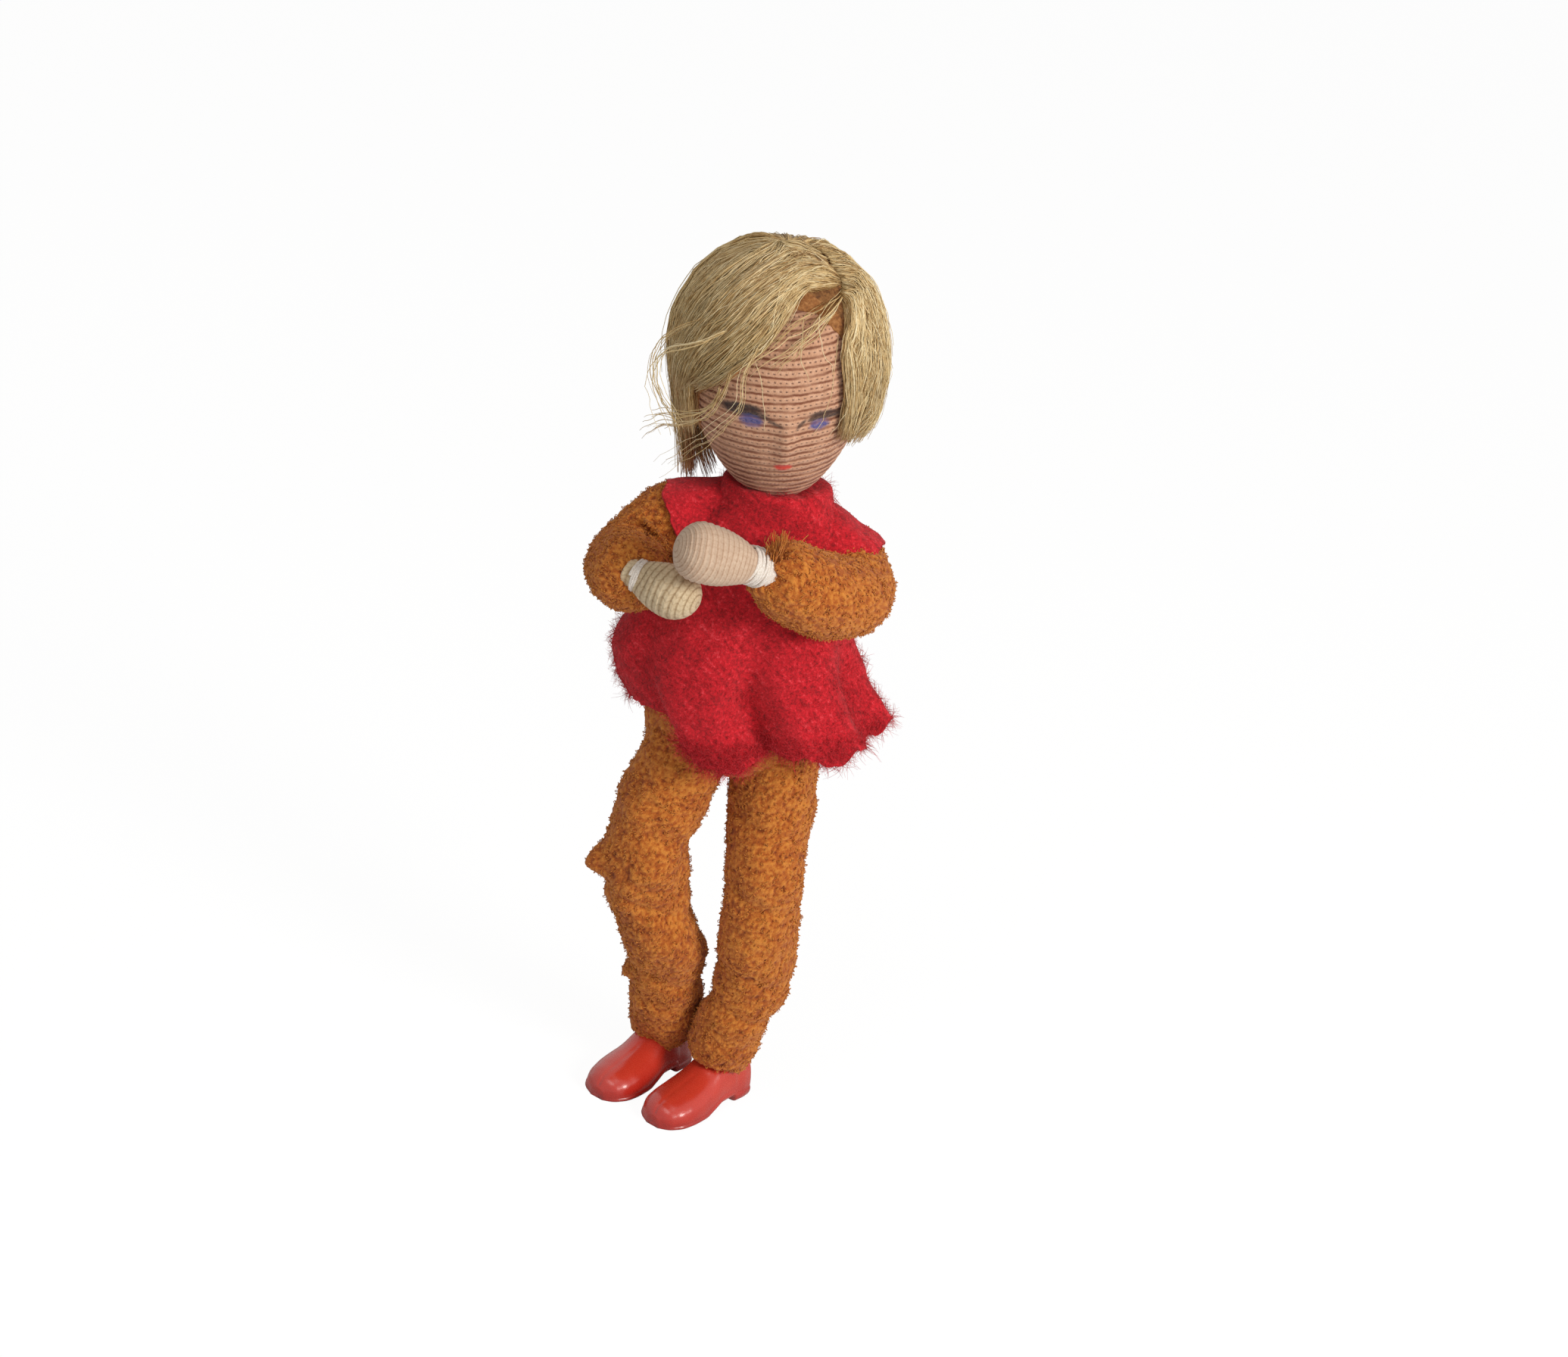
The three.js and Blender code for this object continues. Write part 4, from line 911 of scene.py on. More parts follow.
def face():
    """The knitted face, its rows 1 mm apart, with where its paint lies."""
    rows, around = meshed(200), meshed(330)
    fall = np.linspace(RIM, 0.03, rows)
    f, a = np.meshgrid(fall, circle_angles(around), indexing="ij")
    profile = head_local(fall, np.full(rows, -np.pi))
    arc = np.concatenate([[0], np.cumsum(np.linalg.norm(np.diff(profile, axis=0), axis=1))])
    local = head_local(f, a)
    v = arc[:, None] + 0 * a + 0.12 * wobble(local, 3.5, 101)
    u = a / (2 * np.pi) * FACE_COLUMNS
    rib, stitch = (0.5 - 0.5 * np.cos(2 * np.pi * place) for place in (v, u))
    outward = unit(np.stack([local[..., 0], local[..., 1], 0.6 * (local[..., 2] - HEAD_RISE)], -1))
    relief = 0.16 * np.sqrt(rib) + 0.04 * stitch * rib - 0.1
    local = local + outward * relief[..., None]
    # the ridge of the nose, and a hollow on each side of it for the eyes
    x, z = local[..., 0], local[..., 2]
    front = np.clip(-local[..., 1] / 5, 0, 1)
    ridge = 0.3 * np.exp(-(((x - 0.4) / 0.9) ** 2) - ((z - 10.2) / 2.6) ** 2)
    hollow = 0.3 * np.exp(-(((np.abs(x - 0.3) - 3.8) / 1.8) ** 2) - ((z - 11.4) / 1.5) ** 2)
    local = local + outward * (front * (ridge - hollow))[..., None]
    ragged = 0.1 * wobble(local, 0.5, 103)
    part = skin(to_world(local))
    for name, spots in FACE_PAINT.items():
        part.values[name] = (paint(x + ragged, z + ragged, spots) * front).reshape(-1)
    part.values["cloth"] = np.stack([u, v, 0 * u], -1).reshape(-1, 3)
    part.values["rest"] = local.reshape(-1, 3)
    return part


def neck():
    """The knitted neck in its collar, with the face's rows."""
    path, _ = curve([(NECK[0], NECK[1], 74.6), NECK, (NECK[0], NECK[1], 81.8)], 0.2 * FINE)
    rings = rings_along(path, np.full(len(path), NECK_RADIUS), meshed(104))
    part = skin(rings)
    turns = np.tile(np.arange(rings.shape[1]) / rings.shape[1], len(rings))
    height = part.points[:, 2]
    part.push(0.08 * np.cos(2 * np.pi * height))
    part.values["cloth"] = np.stack([turns * 31, height, 0 * turns], -1)
    part.values.update({name: 0 * turns for name in FACE_PAINT})
    return part


def jersey_material():
    shade = Shade("jersey", 0.92, sheen_weight=0.15, sheen_roughness=0.6)
    cloth = shade.attribute("cloth", "Vector")
    u, v, _ = shade.split(cloth)
    wander = shade.noise(0.9, 2)
    row = (v + wander * 0.35).fract()
    line = (row - 0.5).abs().step(0.27, 0.46)
    column = (u + row * 0.3 + wander * 0.5).fract()
    hole = (column - 0.5).abs().step(0.24, 0.1) * (row - 0.5).abs().step(0.13, 0.04)
    gap = (u.fract() - 0.5).abs().step(0.42, 0.5)
    drawn = shade.add("VectorMath", {0: cloth, 1: (2.2, 0.7, 1)}, operation="MULTIPLY")
    strand = shade.noise(4.5, 3, drawn)
    colour = shade.ramp(strand * 0.6 + shade.noise(1.6, 3) * 0.4, (0.25, (170, 120, 90)),
                        (0.5, (206, 156, 124)), (0.75, (230, 192, 164)))
    worn = shade.noise(0.35, 3).step(0.3, 0.62)
    keep = shade.noise(3.0, 3).step(0.2, 0.62)
    tops = line * -0.4 + 1.0
    for share, shown in (
            (line * (worn * 0.5 + 0.48), (116, 62, 36)),
            (gap * 0.18, (170, 120, 92)),
            (hole * (worn * -0.3 + 0.95), (88, 50, 36)),
            (shade.attribute("lid") * (keep * 0.2 + 0.8), (44, 20, 15)),
            (shade.attribute("iris") * (keep * 0.35 + 0.55) * tops, (30, 60, 140)),
            (shade.attribute("lip") * (keep * 0.3 + 0.7), (204, 58, 44))):
        colour = shade.mix(share, colour, shown)
    shade.base(colour)
    shade.bump(strand * 0.6 - line * 0.6 - hole, 0.5, 0.1)
    return shade


# Hair: how far from the crown it reaches at each angle round the neck, in degrees
HAIR_FALL = [(-180, 124), (-165, 112), (-152, 90), (-140, 83), (-125, 76), (-108, 61), (-92, 44),
             (-80, 38), (-62, 42), (-46, 60), (-39, 86), (-34, 106), (-20, 114), (0, 116), (45, 120),
             (90, 126), (135, 130), (180, 124)]
STEPS = 14


def hair_edge(around):
    """How far from the crown the hair reaches at an angle round the neck, in radians."""
    degrees = (np.degrees(around) + 180) % 360 - 180
    return np.radians(np.interp(degrees, *np.array(HAIR_FALL, float).T))


def hanging(fall, around, lift, share):
    """Places over the head that hang straight down past its widest part."""
    close = head_local(fall, around, lift)
    hang = head_local(np.minimum(fall, HANG), around, lift)
    hang[..., 2] = close[..., 2]
    return close + share * (hang - close)


def cap(extra, share, bulge, edge):
    """A sheet over the head down to a share of the hair's edge, thick towards the middle."""
    t = np.linspace(0.02, 1, 60)[:, None]
    around = np.radians(np.linspace(-180, 180, 180)) + 0 * t
    fall = hair_edge(around) * share * t
    lift = extra + bulge * np.sqrt(np.clip(1 - t**4, 0, 1)) + edge * np.clip(t * 8 - 7, 0, 1)
    place = np.stack([9 * np.cos(around) * t, 9 * np.sin(around) * t, 9 * t + 0 * around], -1)
    lift = lift + 0.06 * wobble(place, 0.8, 8)
    return two_faced(*(to_world(head_local(fall, around, high)) for high in (lift, lift - 0.35)))


# Guide lines of the hair over the head, from the parting to the tips, as places across, along and up
# from the neck's bend
FRINGE = [
    [(6.8, -3.6, 24.7), (4.7, -5.8, 25), (2.4, -6.9, 25.1), (-0.2, -9.3, 23.2), (-3, -10.5, 20.3),
     (-6.6, -9.5, 17), (-9.3, -6.8, 14.3)],
    [(6.8, -2.8, 25), (4.3, -4.6, 25.8), (1.7, -6.1, 25.9), (-1.4, -7.8, 24.7), (-4.7, -9.1, 21.6),
     (-7.8, -8.2, 18.4), (-10.1, -5.5, 14.6)],
    [(6.5, -2.3, 25.3), (3.9, -3.6, 26.3), (0.8, -5.2, 26.4), (-2.6, -6.9, 25.1), (-5.6, -7.8, 22.7),
     (-8.5, -7, 19.4), (-10.6, -4.5, 13.5)],
    [(6.1, -1.9, 25.7), (3.6, -2.1, 26.9), (0.4, -3.6, 27.1), (-3.2, -5.2, 26), (-6.2, -6.1, 23.8),
     (-8.9, -5.9, 20.2), (-10.9, -3.4, 12.5)],
    [(5.5, 0, 26.2), (3, 0.4, 27.2), (-0.5, -1.9, 27.4), (-3.8, -3.6, 26.4), (-6.9, -4.8, 24),
     (-9.4, -4.8, 20), (-11.2, -2.2, 11.5)],
    [(4, 2.9, 26.5), (2, 2.4, 27), (-1.1, -0.3, 27.5), (-4.5, -2.5, 26.4), (-7.5, -3.3, 24.2),
     (-10.3, -3.3, 19), (-11.4, -0.6, 10)],
]
CROWN = [
    [(2.6, 2.6, 27.1), (0.6, 0.6, 27.5), (-2.8, -2, 27), (-6, -4, 25.3), (-8.6, -5, 22.2),
     (-10.3, -5.2, 17), (-10.1, -4.9, 8)],
    [(2.4, 3, 27), (0, 2.2, 27.3), (-3, -0.2, 27.2), (-6.2, -1.8, 25.7), (-8.6, -2, 23), (-10.9, -1.6, 18),
     (-11, -0.6, 7.4)],
    [(2.2, 3.6, 26.9), (-0.2, 4, 27.2), (-3.6, 2.6, 26.9), (-7, 1.4, 25), (-9.4, 0.8, 22),
     (-11.2, 0.8, 16.5), (-11, 1, 1.4)],
    [(1.6, 4.6, 26.8), (-0.9, 5.6, 26.6), (-4, 5.2, 25.6), (-7, 4.8, 23.4), (-9.2, 4.4, 20),
     (-10.6, 4.4, 14.5), (-10.2, 3.8, -1.4)],
]
LEFT = [
    [(6.7, -5, 24.2), (7, -5.7, 23.3), (7.1, -7, 22), (6.9, -8.5, 19.9), (6.9, -9.2, 17.2), (7.2, -9, 12.4),
     (7.1, -8.2, 8.4)],
    [(6.9, -3.6, 24.6), (7.9, -3.8, 23.5), (8.3, -5.5, 21.8), (8.4, -7.2, 19), (8.5, -7.9, 15.6),
     (8.3, -7.8, 11.2), (7.6, -7.9, 8)],
    [(6.5, -2.3, 25.3), (8.3, -1.6, 24), (9.4, -2.6, 22.1), (9.9, -4.5, 19.4), (10.1, -5.4, 15.6),
     (9.8, -5.6, 11), (8.2, -7.2, 7.6)],
    [(5.7, -0.4, 26), (8, 0.6, 24.2), (9.9, 0, 21.6), (10.9, -1.2, 18.4), (11.2, -2, 14), (10.7, -2.6, 9.6),
     (9.1, -5, 6.8)],
    [(4.4, 2.8, 26.4), (6.6, 3, 25.2), (9, 2.8, 22.8), (10.6, 2, 19.6), (11.3, 0.8, 15.4), (11.2, 0, 10),
     (9.8, -2, 6.2)],
    [(3.2, 3.6, 26.7), (5.4, 5.2, 25.4), (8, 6, 22.6), (9.8, 5.8, 19), (10.6, 5, 14), (10.5, 4, 9),
     (9.6, 2.4, 5.6)],
]
BACK = [
    [(3.2, 3.8, 26.7), (5, 6, 25), (7, 7.4, 22.4), (8.6, 8, 19), (9.4, 7.4, 14), (9.2, 6.6, 9),
     (8.6, 5.6, 5)],
    [(2.6, 4.2, 26.8), (3.6, 7, 25.2), (4.8, 9, 22.4), (5.8, 10.2, 18.6), (6, 10.4, 13.6), (5.8, 9.8, 8.6),
     (5.4, 9, 4.2)],
    [(1.8, 4.4, 26.9), (1.6, 7.4, 25.4), (1.4, 9.8, 22.6), (1, 11.4, 18.6), (0.6, 11.6, 13.6),
     (0.4, 11, 8.4), (0.2, 10.2, 3.6)],
    [(1.2, 4.6, 26.9), (-0.4, 7.2, 25.4), (-2.4, 9.4, 22.6), (-4.4, 10.6, 18.6), (-5.4, 10.6, 13.6),
     (-5.6, 9.8, 8.2), (-5.4, 9, 3.4)],
    [(1, 4.6, 26.9), (-1.8, 6.2, 26), (-5, 7.6, 23.4), (-7.6, 8.2, 19.6), (-8.8, 7.8, 14.6), (-8.9, 7, 7.6),
     (-8.6, 6, -0.6)],
    [(1.4, 4.4, 26.9), (-1.4, 5.2, 26.5), (-5, 5.6, 24.8), (-8, 5.4, 21.6), (-9.9, 5, 17), (-10.3, 4.4, 8),
     (-9.9, 3.4, -1.4)],
]
LOCK = [
    [(1.4, 4.4, 26.9), (-2, 4.6, 26.6), (-6, 4, 24.4), (-9, 3, 20.8), (-10.6, 1.6, 16), (-11, 0.8, 8),
     (-10.8, 0.4, 0.6)],
    [(1.2, 4.6, 26.9), (-1.8, 5.4, 26.3), (-5.4, 6, 24), (-8.2, 6, 20), (-9.6, 5.2, 15), (-9.9, 4.2, 7),
     (-9.8, 3.6, -1.6)],
    [(1, 4.8, 26.9), (-1.4, 6.6, 25.8), (-4.2, 8, 23), (-6.4, 8.6, 19), (-7.4, 8, 14), (-7.6, 7, 6),
     (-7.4, 6.2, -1.2)],
]
BROW = [
    [(6.9, -4.2, 24.3), (5.4, -6.2, 24.3), (3.4, -7.8, 23.9), (1.2, -9, 23.1), (-1.2, -10, 21.7),
     (-3.8, -10.4, 19.5), (-6.4, -9.6, 17)],
    [(6.9, -5, 24), (6, -6.8, 23.4), (4.8, -8.2, 22.4), (3.2, -9.4, 21.2), (1.4, -10.2, 20),
     (-0.4, -10.6, 18.8), (-2, -10.8, 17.6)],
]
# Single hairs that stand off the head at the doll's right and over its brow
STRAY = [
    [(-6.5, -9, 22), (-9.5, -8.6, 20.5), (-12.6, -6, 18.6), (-13.6, -5, 15.2), (-12.8, -5, 12),
     (-11.6, -6, 9.6)],
    [(-8.6, -6, 22), (-11.4, -5, 20.4), (-13.4, -4, 17.6), (-13.5, -4.6, 14.4), (-12, -6, 11.6),
     (-10.8, -7.6, 10)],
    [(-3.2, -11, 21), (-4.6, -12, 18.4), (-5, -12.3, 15), (-7.4, -10.6, 11.4), (-10, -8.6, 8.6),
     (-12.6, -6, 5.4)],
    [(-6, -10.6, 18), (-6.8, -10.6, 15.4), (-8.4, -9, 12.8), (-11, -7, 11.2), (-13, -5, 10.4),
     (-14.4, -4.4, 10)],
    [(-7, -10.6, 16), (-7.8, -9.8, 13.4), (-9.6, -8.4, 11), (-12, -6, 9.8), (-13.6, -5, 8.8),
     (-14.6, -4, 7.4)],
    [(1.8, -9.6, 23.6), (1.6, -10.8, 21), (1.5, -11.2, 19.6), (1.7, -11.4, 18.8), (2, -11.5, 18),
     (2.2, -11.5, 17)],
    [(3.6, -8.8, 23.6), (3.5, -9.8, 22), (3.8, -10.6, 20.6), (4.2, -10.8, 19.4), (4.6, -10.8, 18.4),
     (5, -10.7, 17.4)],
    [(-3.4, -11, 19.4), (-2.6, -11.6, 16.8), (-2.4, -11.4, 14.6), (-2.2, -11.2, 13), (-2.2, -11, 12),
     (-2.3, -10.8, 11)],
    [(5.6, -9.2, 21), (5, -10.2, 16), (4.6, -10.4, 13.6), (4, -10.5, 12), (3.4, -10.7, 11),
     (3, -10.8, 10.4)],
    [(6.8, -8.6, 18), (7, -9.2, 14), (6.4, -9.4, 12), (5.6, -9.6, 11), (5, -9.8, 10), (4.6, -10, 9.6)],
]
# The grid that strands are laid on, across the guide lines and along them
LAY_COLUMNS, LAY_ROWS = 80, 60


def lay(guides, count, seed, low=0.0, high=1.0, cross=0.5, late=0.3, floor=0.62, thick=0.8,
        hang=0.7, ragged=0.35):
    """Strands that lie over the head between guide lines, each a little aslant to them."""
    lines = np.stack([smoothed(guide, LAY_ROWS + 1) for guide in guides])
    surface = smoothed(lines.reshape(len(guides), -1), LAY_COLUMNS + 1)
    surface = surface.reshape(LAY_COLUMNS + 1, LAY_ROWS + 1, 3)
    t = np.linspace(0, 1, STEPS)[None]
    first = RANDOM.uniform(0, 1, (count, 1)) ** 2 * late
    last = 1 - ragged * RANDOM.uniform(0, 1, (count, 1)) ** 2.2
    v = first + (last - first) * t
    u = RANDOM.uniform(low, high, (count, 1))
    drift = RANDOM.normal(0, cross / len(guides), (count, 1))
    wave = wobble(np.stack([u * 40 + 0 * t, v * 3, 0 * v], -1), 1.0, seed) * 0.35 / len(guides)
    u = np.clip(u + drift * (t - 0.4) + wave * t, 0, 1) * LAY_COLUMNS
    v = v * LAY_ROWS
    i, j = np.minimum(u.astype(int), LAY_COLUMNS - 1), np.minimum(v.astype(int), LAY_ROWS - 1)
    a, b = (u - i)[..., None], (v - j)[..., None]
    local = ((1 - a) * ((1 - b) * surface[i, j] + b * surface[i, j + 1])
             + a * ((1 - b) * surface[i + 1, j] + b * surface[i + 1, j + 1]))
    fall, around = on_head(local)
    reach = np.clip(fall / hair_edge(around), 0, 1)
    taper = 0.25 + 0.75 * np.sqrt(1 - reach**4)
    # layer: how far out a strand lies; the hair's colour paints shade on the lower strands
    layer = RANDOM.uniform(0, 1, (count, 1)) ** 0.8
    lift = floor + layer * (0.25 + 1.5 * taper * thick) * (0.35 + 0.65 * np.clip(t * 5, 0, 1))
    lift = lift + 0.12 * wobble(local, 1.4, seed + 1)
    return hanging(fall, around, np.maximum(lift, 0.6), hang), layer


def strands(paths, layer, seed, radius=0.055, fray=0.0, dim=0.0):
    """Hairs along the paths, drawn together in wisps that part towards the tips."""
    count, n = paths.shape[:2]
    t = np.linspace(0, 1, n)[None]
    world = to_world(paths)
    clump = np.stack([wobble(world * 0.9 + 60 * k, 1.3, seed + k) for k in range(3)], -1)
    fine = np.stack([wobble(world + 90 * k, 0.7, seed + 5 + k) for k in range(3)], -1)
    world = world + 0.34 * clump * t[..., None] + 0.12 * fine
    if fray:
        world = world + fray * RANDOM.normal(size=(count, 1, 3)) * (t**2)[..., None]
    radii = radius * RANDOM.uniform(0.6, 1.3, (count, 1)) * (1 - 0.55 * t**3)
    # dim is the group's share of painted shadow, and layer darkens the lower strands: painted shade
    return tubes(world, radii, tint=RANDOM.random(count), layer=layer, dim=np.full(count, dim),
                 along=np.broadcast_to(t, (count, n)))


def mane(name, node, seed, groups):
    """A mass of strands in groups, each laid along its own guide lines."""
    parts = []
    # Each group: its guides, its count of strands, its share of painted shadow (dim) and how its strands lie
    for guides, count, dim, kinds in groups:
        paths, layer = lay(guides, meshed(count), seed, **kinds)
        parts.append(strands(paths, layer, seed, fray=0.3, dim=dim))
        seed += 10
    put(name, joined(parts), HAIR, [node], ride="head")


def stray_hairs():
    """The single hairs of STRAY, and loose ones that wander off beside the first five."""
    lines = np.array([smoothed(guide, 22) for guide in STRAY])
    loose = np.repeat(lines[:5], 5, axis=0)
    reach = np.linspace(0.2, 1, loose.shape[1])[None, :, None]
    loose = loose + RANDOM.normal(0, 0.75, (len(loose), 1, 3)) * reach
    lines = np.concatenate([lines, loose])
    return strands(lines, np.ones((len(lines), 1)), 251, radius=0.05)


def hair_material():
    shade = Shade("hair", 0.45, specular_ior_level=0.35)
    along, tint, layer, dim = (shade.attribute(key) for key in ("along", "tint", "layer", "dim"))
    grain = shade.noise(0.9, 3)
    # painted shade: strands in lower layers and groups with painted shadow (dim) are darker; the colour also
    # darkens towards the roots (along)
    value = along.min(0.4) * 0.4 + tint * 0.46 + grain * 0.5 + layer * 0.3 - dim * 0.3 - 0.32
    shade.base(shade.ramp(value, (0.1, (112, 72, 34)), (0.3, (184, 146, 92)), (0.52, (224, 196, 142)),
                          (0.86, (250, 234, 194))))
    return shade


def grained_material(name, scale, detail, stops, bump, roughness=0.9, **sockets):
    """A material whose colour and bump follow one noise."""
    shade = Shade(name, roughness, **sockets)
    grain = shade.noise(scale, detail)
    shade.base(shade.ramp(grain, *stops))
    shade.bump(grain, *bump)
    return shade


# Hands: the pitch of the rows, how far they slant, and the columns round the hand
KNIT_ROWS = {"right": (1.05, 0.35, 20), "left": (0.75, 0.0, 26)}


def hand(side):
    """A padded hand in knit: ribs aslant round the right one, finer rows round the left one."""
    wrist, way = arm_places(side)[-1], unit(SHARES[side]["hand"])
    length, palm = HAND[side]
    tip = wrist + way * (length - palm)
    path, _ = curve([wrist - way * 1.2, wrist, wrist + way * palm, tip], 0.15 * FINE)
    along = (path - wrist) @ way
    radii = np.interp(along, [-1.2, 0, 0.6, palm * 0.75, palm * 1.3, length - palm],
                      [HAND_NECK * 0.9, HAND_NECK * 0.82, HAND_NECK, palm * 0.86, palm, palm])
    radii = np.convolve(np.pad(radii, 6, mode="edge"), np.ones(13) / 13, "valid")
    angle = np.linspace(np.pi / 2, 0.05, int(palm * np.pi / 2 / (0.15 * FINE)))[1:]
    path = np.concatenate([path, tip + palm * np.cos(angle)[:, None] * way])
    radii = np.concatenate([radii, palm * np.sin(angle)])
    around = meshed(130)
    rings = rings_along(path, radii, around, (0, 0, 1))
    part = skin(rings, first=path[0], last=path[-1] + way * 0.05)
    p = part.points
    u = np.append(np.tile(np.arange(around) / around, len(path)), [0, 0])
    step = np.linalg.norm(np.diff(rings.mean(1), axis=0), axis=1) + np.abs(np.diff(radii))
    v = np.repeat(np.concatenate([[0], np.cumsum(step)]), around)
    v = np.append(v, [0, v[-1]])
    v = v + 0.3 * (wobble(p, 2.0, 139) if side == "right" else wobble(p, 2.2, 137))
    pitch, slant, columns = KNIT_ROWS[side]
    v = v / pitch + slant * np.sin(2 * np.pi * u)
    rib = np.cos(2 * np.pi * v)
    if side == "right":
        part.push(0.16 * np.abs(rib) ** 0.7 - 0.08 + 0.14 * wobble(p, 2.5, 131))
    else:
        part.push(0.07 * rib + 0.2 * wobble(p, 3.0, 133))
    part.values["cloth"] = np.stack([u * columns, v, 0 * u], -1)
    return part


def knit_material(name, colours, stitch, dark_columns, dark_rows):
    """Knit whose stitches lean by a share of a column, with dark lines between columns and rows."""
    shade = Shade(name, 0.92, sheen_weight=0.15)
    u, v, _ = shade.split(shade.attribute("cloth", "Vector"))
    line = (v.fract() - 0.5).abs()
    slant = ((u + line * stitch).fract() - 0.5).abs()
    grain, patch = shade.noise(4.0, 4), shade.noise(0.6, 2)
    dark = slant.step(0.3, 0.5) * dark_columns + line.step(0.28, 0.5) * dark_rows
    value = grain * 0.4 + patch * 0.35 + 0.28 - dark * 0.42
    shade.base(shade.ramp(value, *zip((0.12, 0.45, 0.75), colours)))
    shade.bump(grain * 0.4 - dark, 0.6, 0.12)
    return shade


# The thread at the wrists: its turns, radius, width along the arm, way back from the wrist and seed
WINDING = {"right": (5, 1.75, 0.9, -0.3, 8), "left": (17, 1.95, 3.4, 0.6, 7)}
THREAD_RADIUS = 0.17


def winding(side):
    """Thread wound round a wrist in its real turns, on the sleeve's end at the left."""
    turns, radius, spread, back, seed = WINDING[side]
    _, elbow, wrist = arm_places(side)
    way = unit(wrist - elbow) if side == "left" else unit(SHARES[side]["hand"])
    t = np.linspace(0, 1, int(turns * 26))
    across = unit(np.cross(way, (0.3, 0.2, 1)))
    other = np.cross(way, across)
    angle = 2 * np.pi * turns * t
    drift = spread * (np.abs((t * 3) % 2 - 1) - 0.5) + 0.12 * wobble(np.stack([9 * t, t, t], -1), 0.7, seed)
    over = wobble(np.stack([40 * t, t, t], -1), 1.0, seed) > 0.2
    lift = radius + THREAD_RADIUS * (0.6 * t + 0.5 * over)
    path = (wrist - way * back + way * drift[:, None] + across * (lift * np.cos(angle))[:, None]
            + other * (lift * np.sin(angle))[:, None])
    return tubes(path[None], THREAD_RADIUS, sides=8)


# Shoes: half width and height as shares, by place from the heel
SHOE_ROWS = [(0, 0.42, 0.5), (0.04, 0.66, 0.82), (0.12, 0.8, 0.98), (0.24, 0.84, 1), (0.27, 0.84, 1),
             (0.4, 0.84, 0.92), (0.52, 0.92, 0.74), (0.66, 1, 0.62), (0.8, 0.98, 0.53),
             (0.91, 0.82, 0.44), (0.97, 0.58, 0.34), (1, 0.3, 0.22)]
# The section: width and height as shares, from the sole's middle over its edge to the top
SHOE_SECTION = [(0, 0, 0), (0.1, 0.55, 0.0), (0.17, 0.86, 0.01), (0.2, 0.97, 0.04), (0.24, 1.03, 0.1),
                (0.29, 1.03, 0.17), (0.32, 0.99, 0.2), (0.37, 0.99, 0.25), (0.5, 0.97, 0.42),
                (0.65, 0.87, 0.66), (0.8, 0.62, 0.86), (0.92, 0.28, 0.97), (1, 0, 1)]
# The rim of the opening: radius and height from its top
SHOE_RIM = [(2.45, -1.6), (2.4, -0.7), (2.32, -0.15), (2.15, 0.05), (1.95, -0.1), (1.85, -0.8), (1.8, -2.4)]


def shoe(side):
    """A moulded shoe with a heel, an arch, a sole's edge and a raised rim round the ankle."""
    ankle = leg_places(side)[-1]
    toe = unit(SHARES[side]["toe"])
    across = np.array([-toe[1], toe[0], 0])
    heel = np.array([ankle[0], ankle[1], 0]) - toe * HEEL_BACK
    along = np.unique(np.concatenate([
        np.linspace(0, 1, meshed(90)), 1 - np.geomspace(1e-3, 0.06, 8), np.geomspace(1e-3, 0.04, 6)]))
    half, top = (table_at(SHOE_ROWS, along) * (SHOE[1] / 2, SHOE[2])).T[..., None]
    sole = HEEL * np.interp(along, [0, 0.245, 0.262, 0.42, 0.6, 1], [0, 0, 1, 1, 0.05, 0])[:, None]
    s = np.linspace(-1, 1, meshed(96), endpoint=False)
    wide, high = table_at(SHOE_SECTION, np.abs(s)).T
    wide = wide * np.where(s < 0, -1, 1)
    lift = sole + high * (top - sole)
    rings = (heel + along[:, None, None] * toe * SHOE[0] + (wide * half)[..., None] * across
             + lift[..., None] * np.array([0, 0, 1.0]))
    part = skin(rings[:, ::-1], first=rings[0].mean(0), last=rings[-1].mean(0))
    p = part.points
    away = (p - heel) @ across
    place = ((p - heel) @ toe) / SHOE[0]
    ridge = np.exp(-((away / 0.16) ** 2)) * (p[:, 2] > 1.6) * np.clip((place - 0.45) * 8, 0, 1)
    part.push(0.09 * ridge + 0.05 * wobble(p, 2.2, 151))
    top_middle = np.array([ankle[0], ankle[1], SHOE[2] + 0.4])
    ring = circle(circle_angles(48), 1.0)
    rim = skin(np.array([top_middle + r * ring + np.array([0, 0, z]) for r, z in SHOE_RIM])[:, ::-1])
    out = joined([part, rim])
    # tone rises with height: the shoe's red is painted lighter towards the top and darker towards the sole,
    # painted light and shade
    out.values["tone"] = np.clip(out.points[:, 2] / 3, 0, 1)
    return out


def vinyl_material():
    shade = Shade("vinyl", 0.3, specular_ior_level=0.5, coat_weight=0.25, coat_roughness=0.15)
    grain, fine = shade.noise(0.5, 3), shade.noise(7.0, 4)
    # painted light and shade: the higher on the shoe (tone), the lighter the red
    value = shade.attribute("tone") * 0.5 + grain * 0.35 + fine * 0.12
    shade.base(shade.ramp(value, (0.12, (132, 20, 18)), (0.42, (184, 42, 30)), (0.8, (206, 60, 42))))
    shade.rough(fine * 0.22 + 0.16)
    shade.bump(fine * 0.25 + grain, 0.18, 0.2)
    return shade


def metal_material():
    shade = Shade("wire_metal", 0.35, metallic=1.0)
    grain = shade.noise(900, 3, shade.add("TexCoord", output="Object"))
    shade.base(shade.ramp(grain, (0.3, (120, 121, 124)), (0.7, (178, 180, 184))))
    shade.rough(grain * 0.3 + 0.22)
    return shade


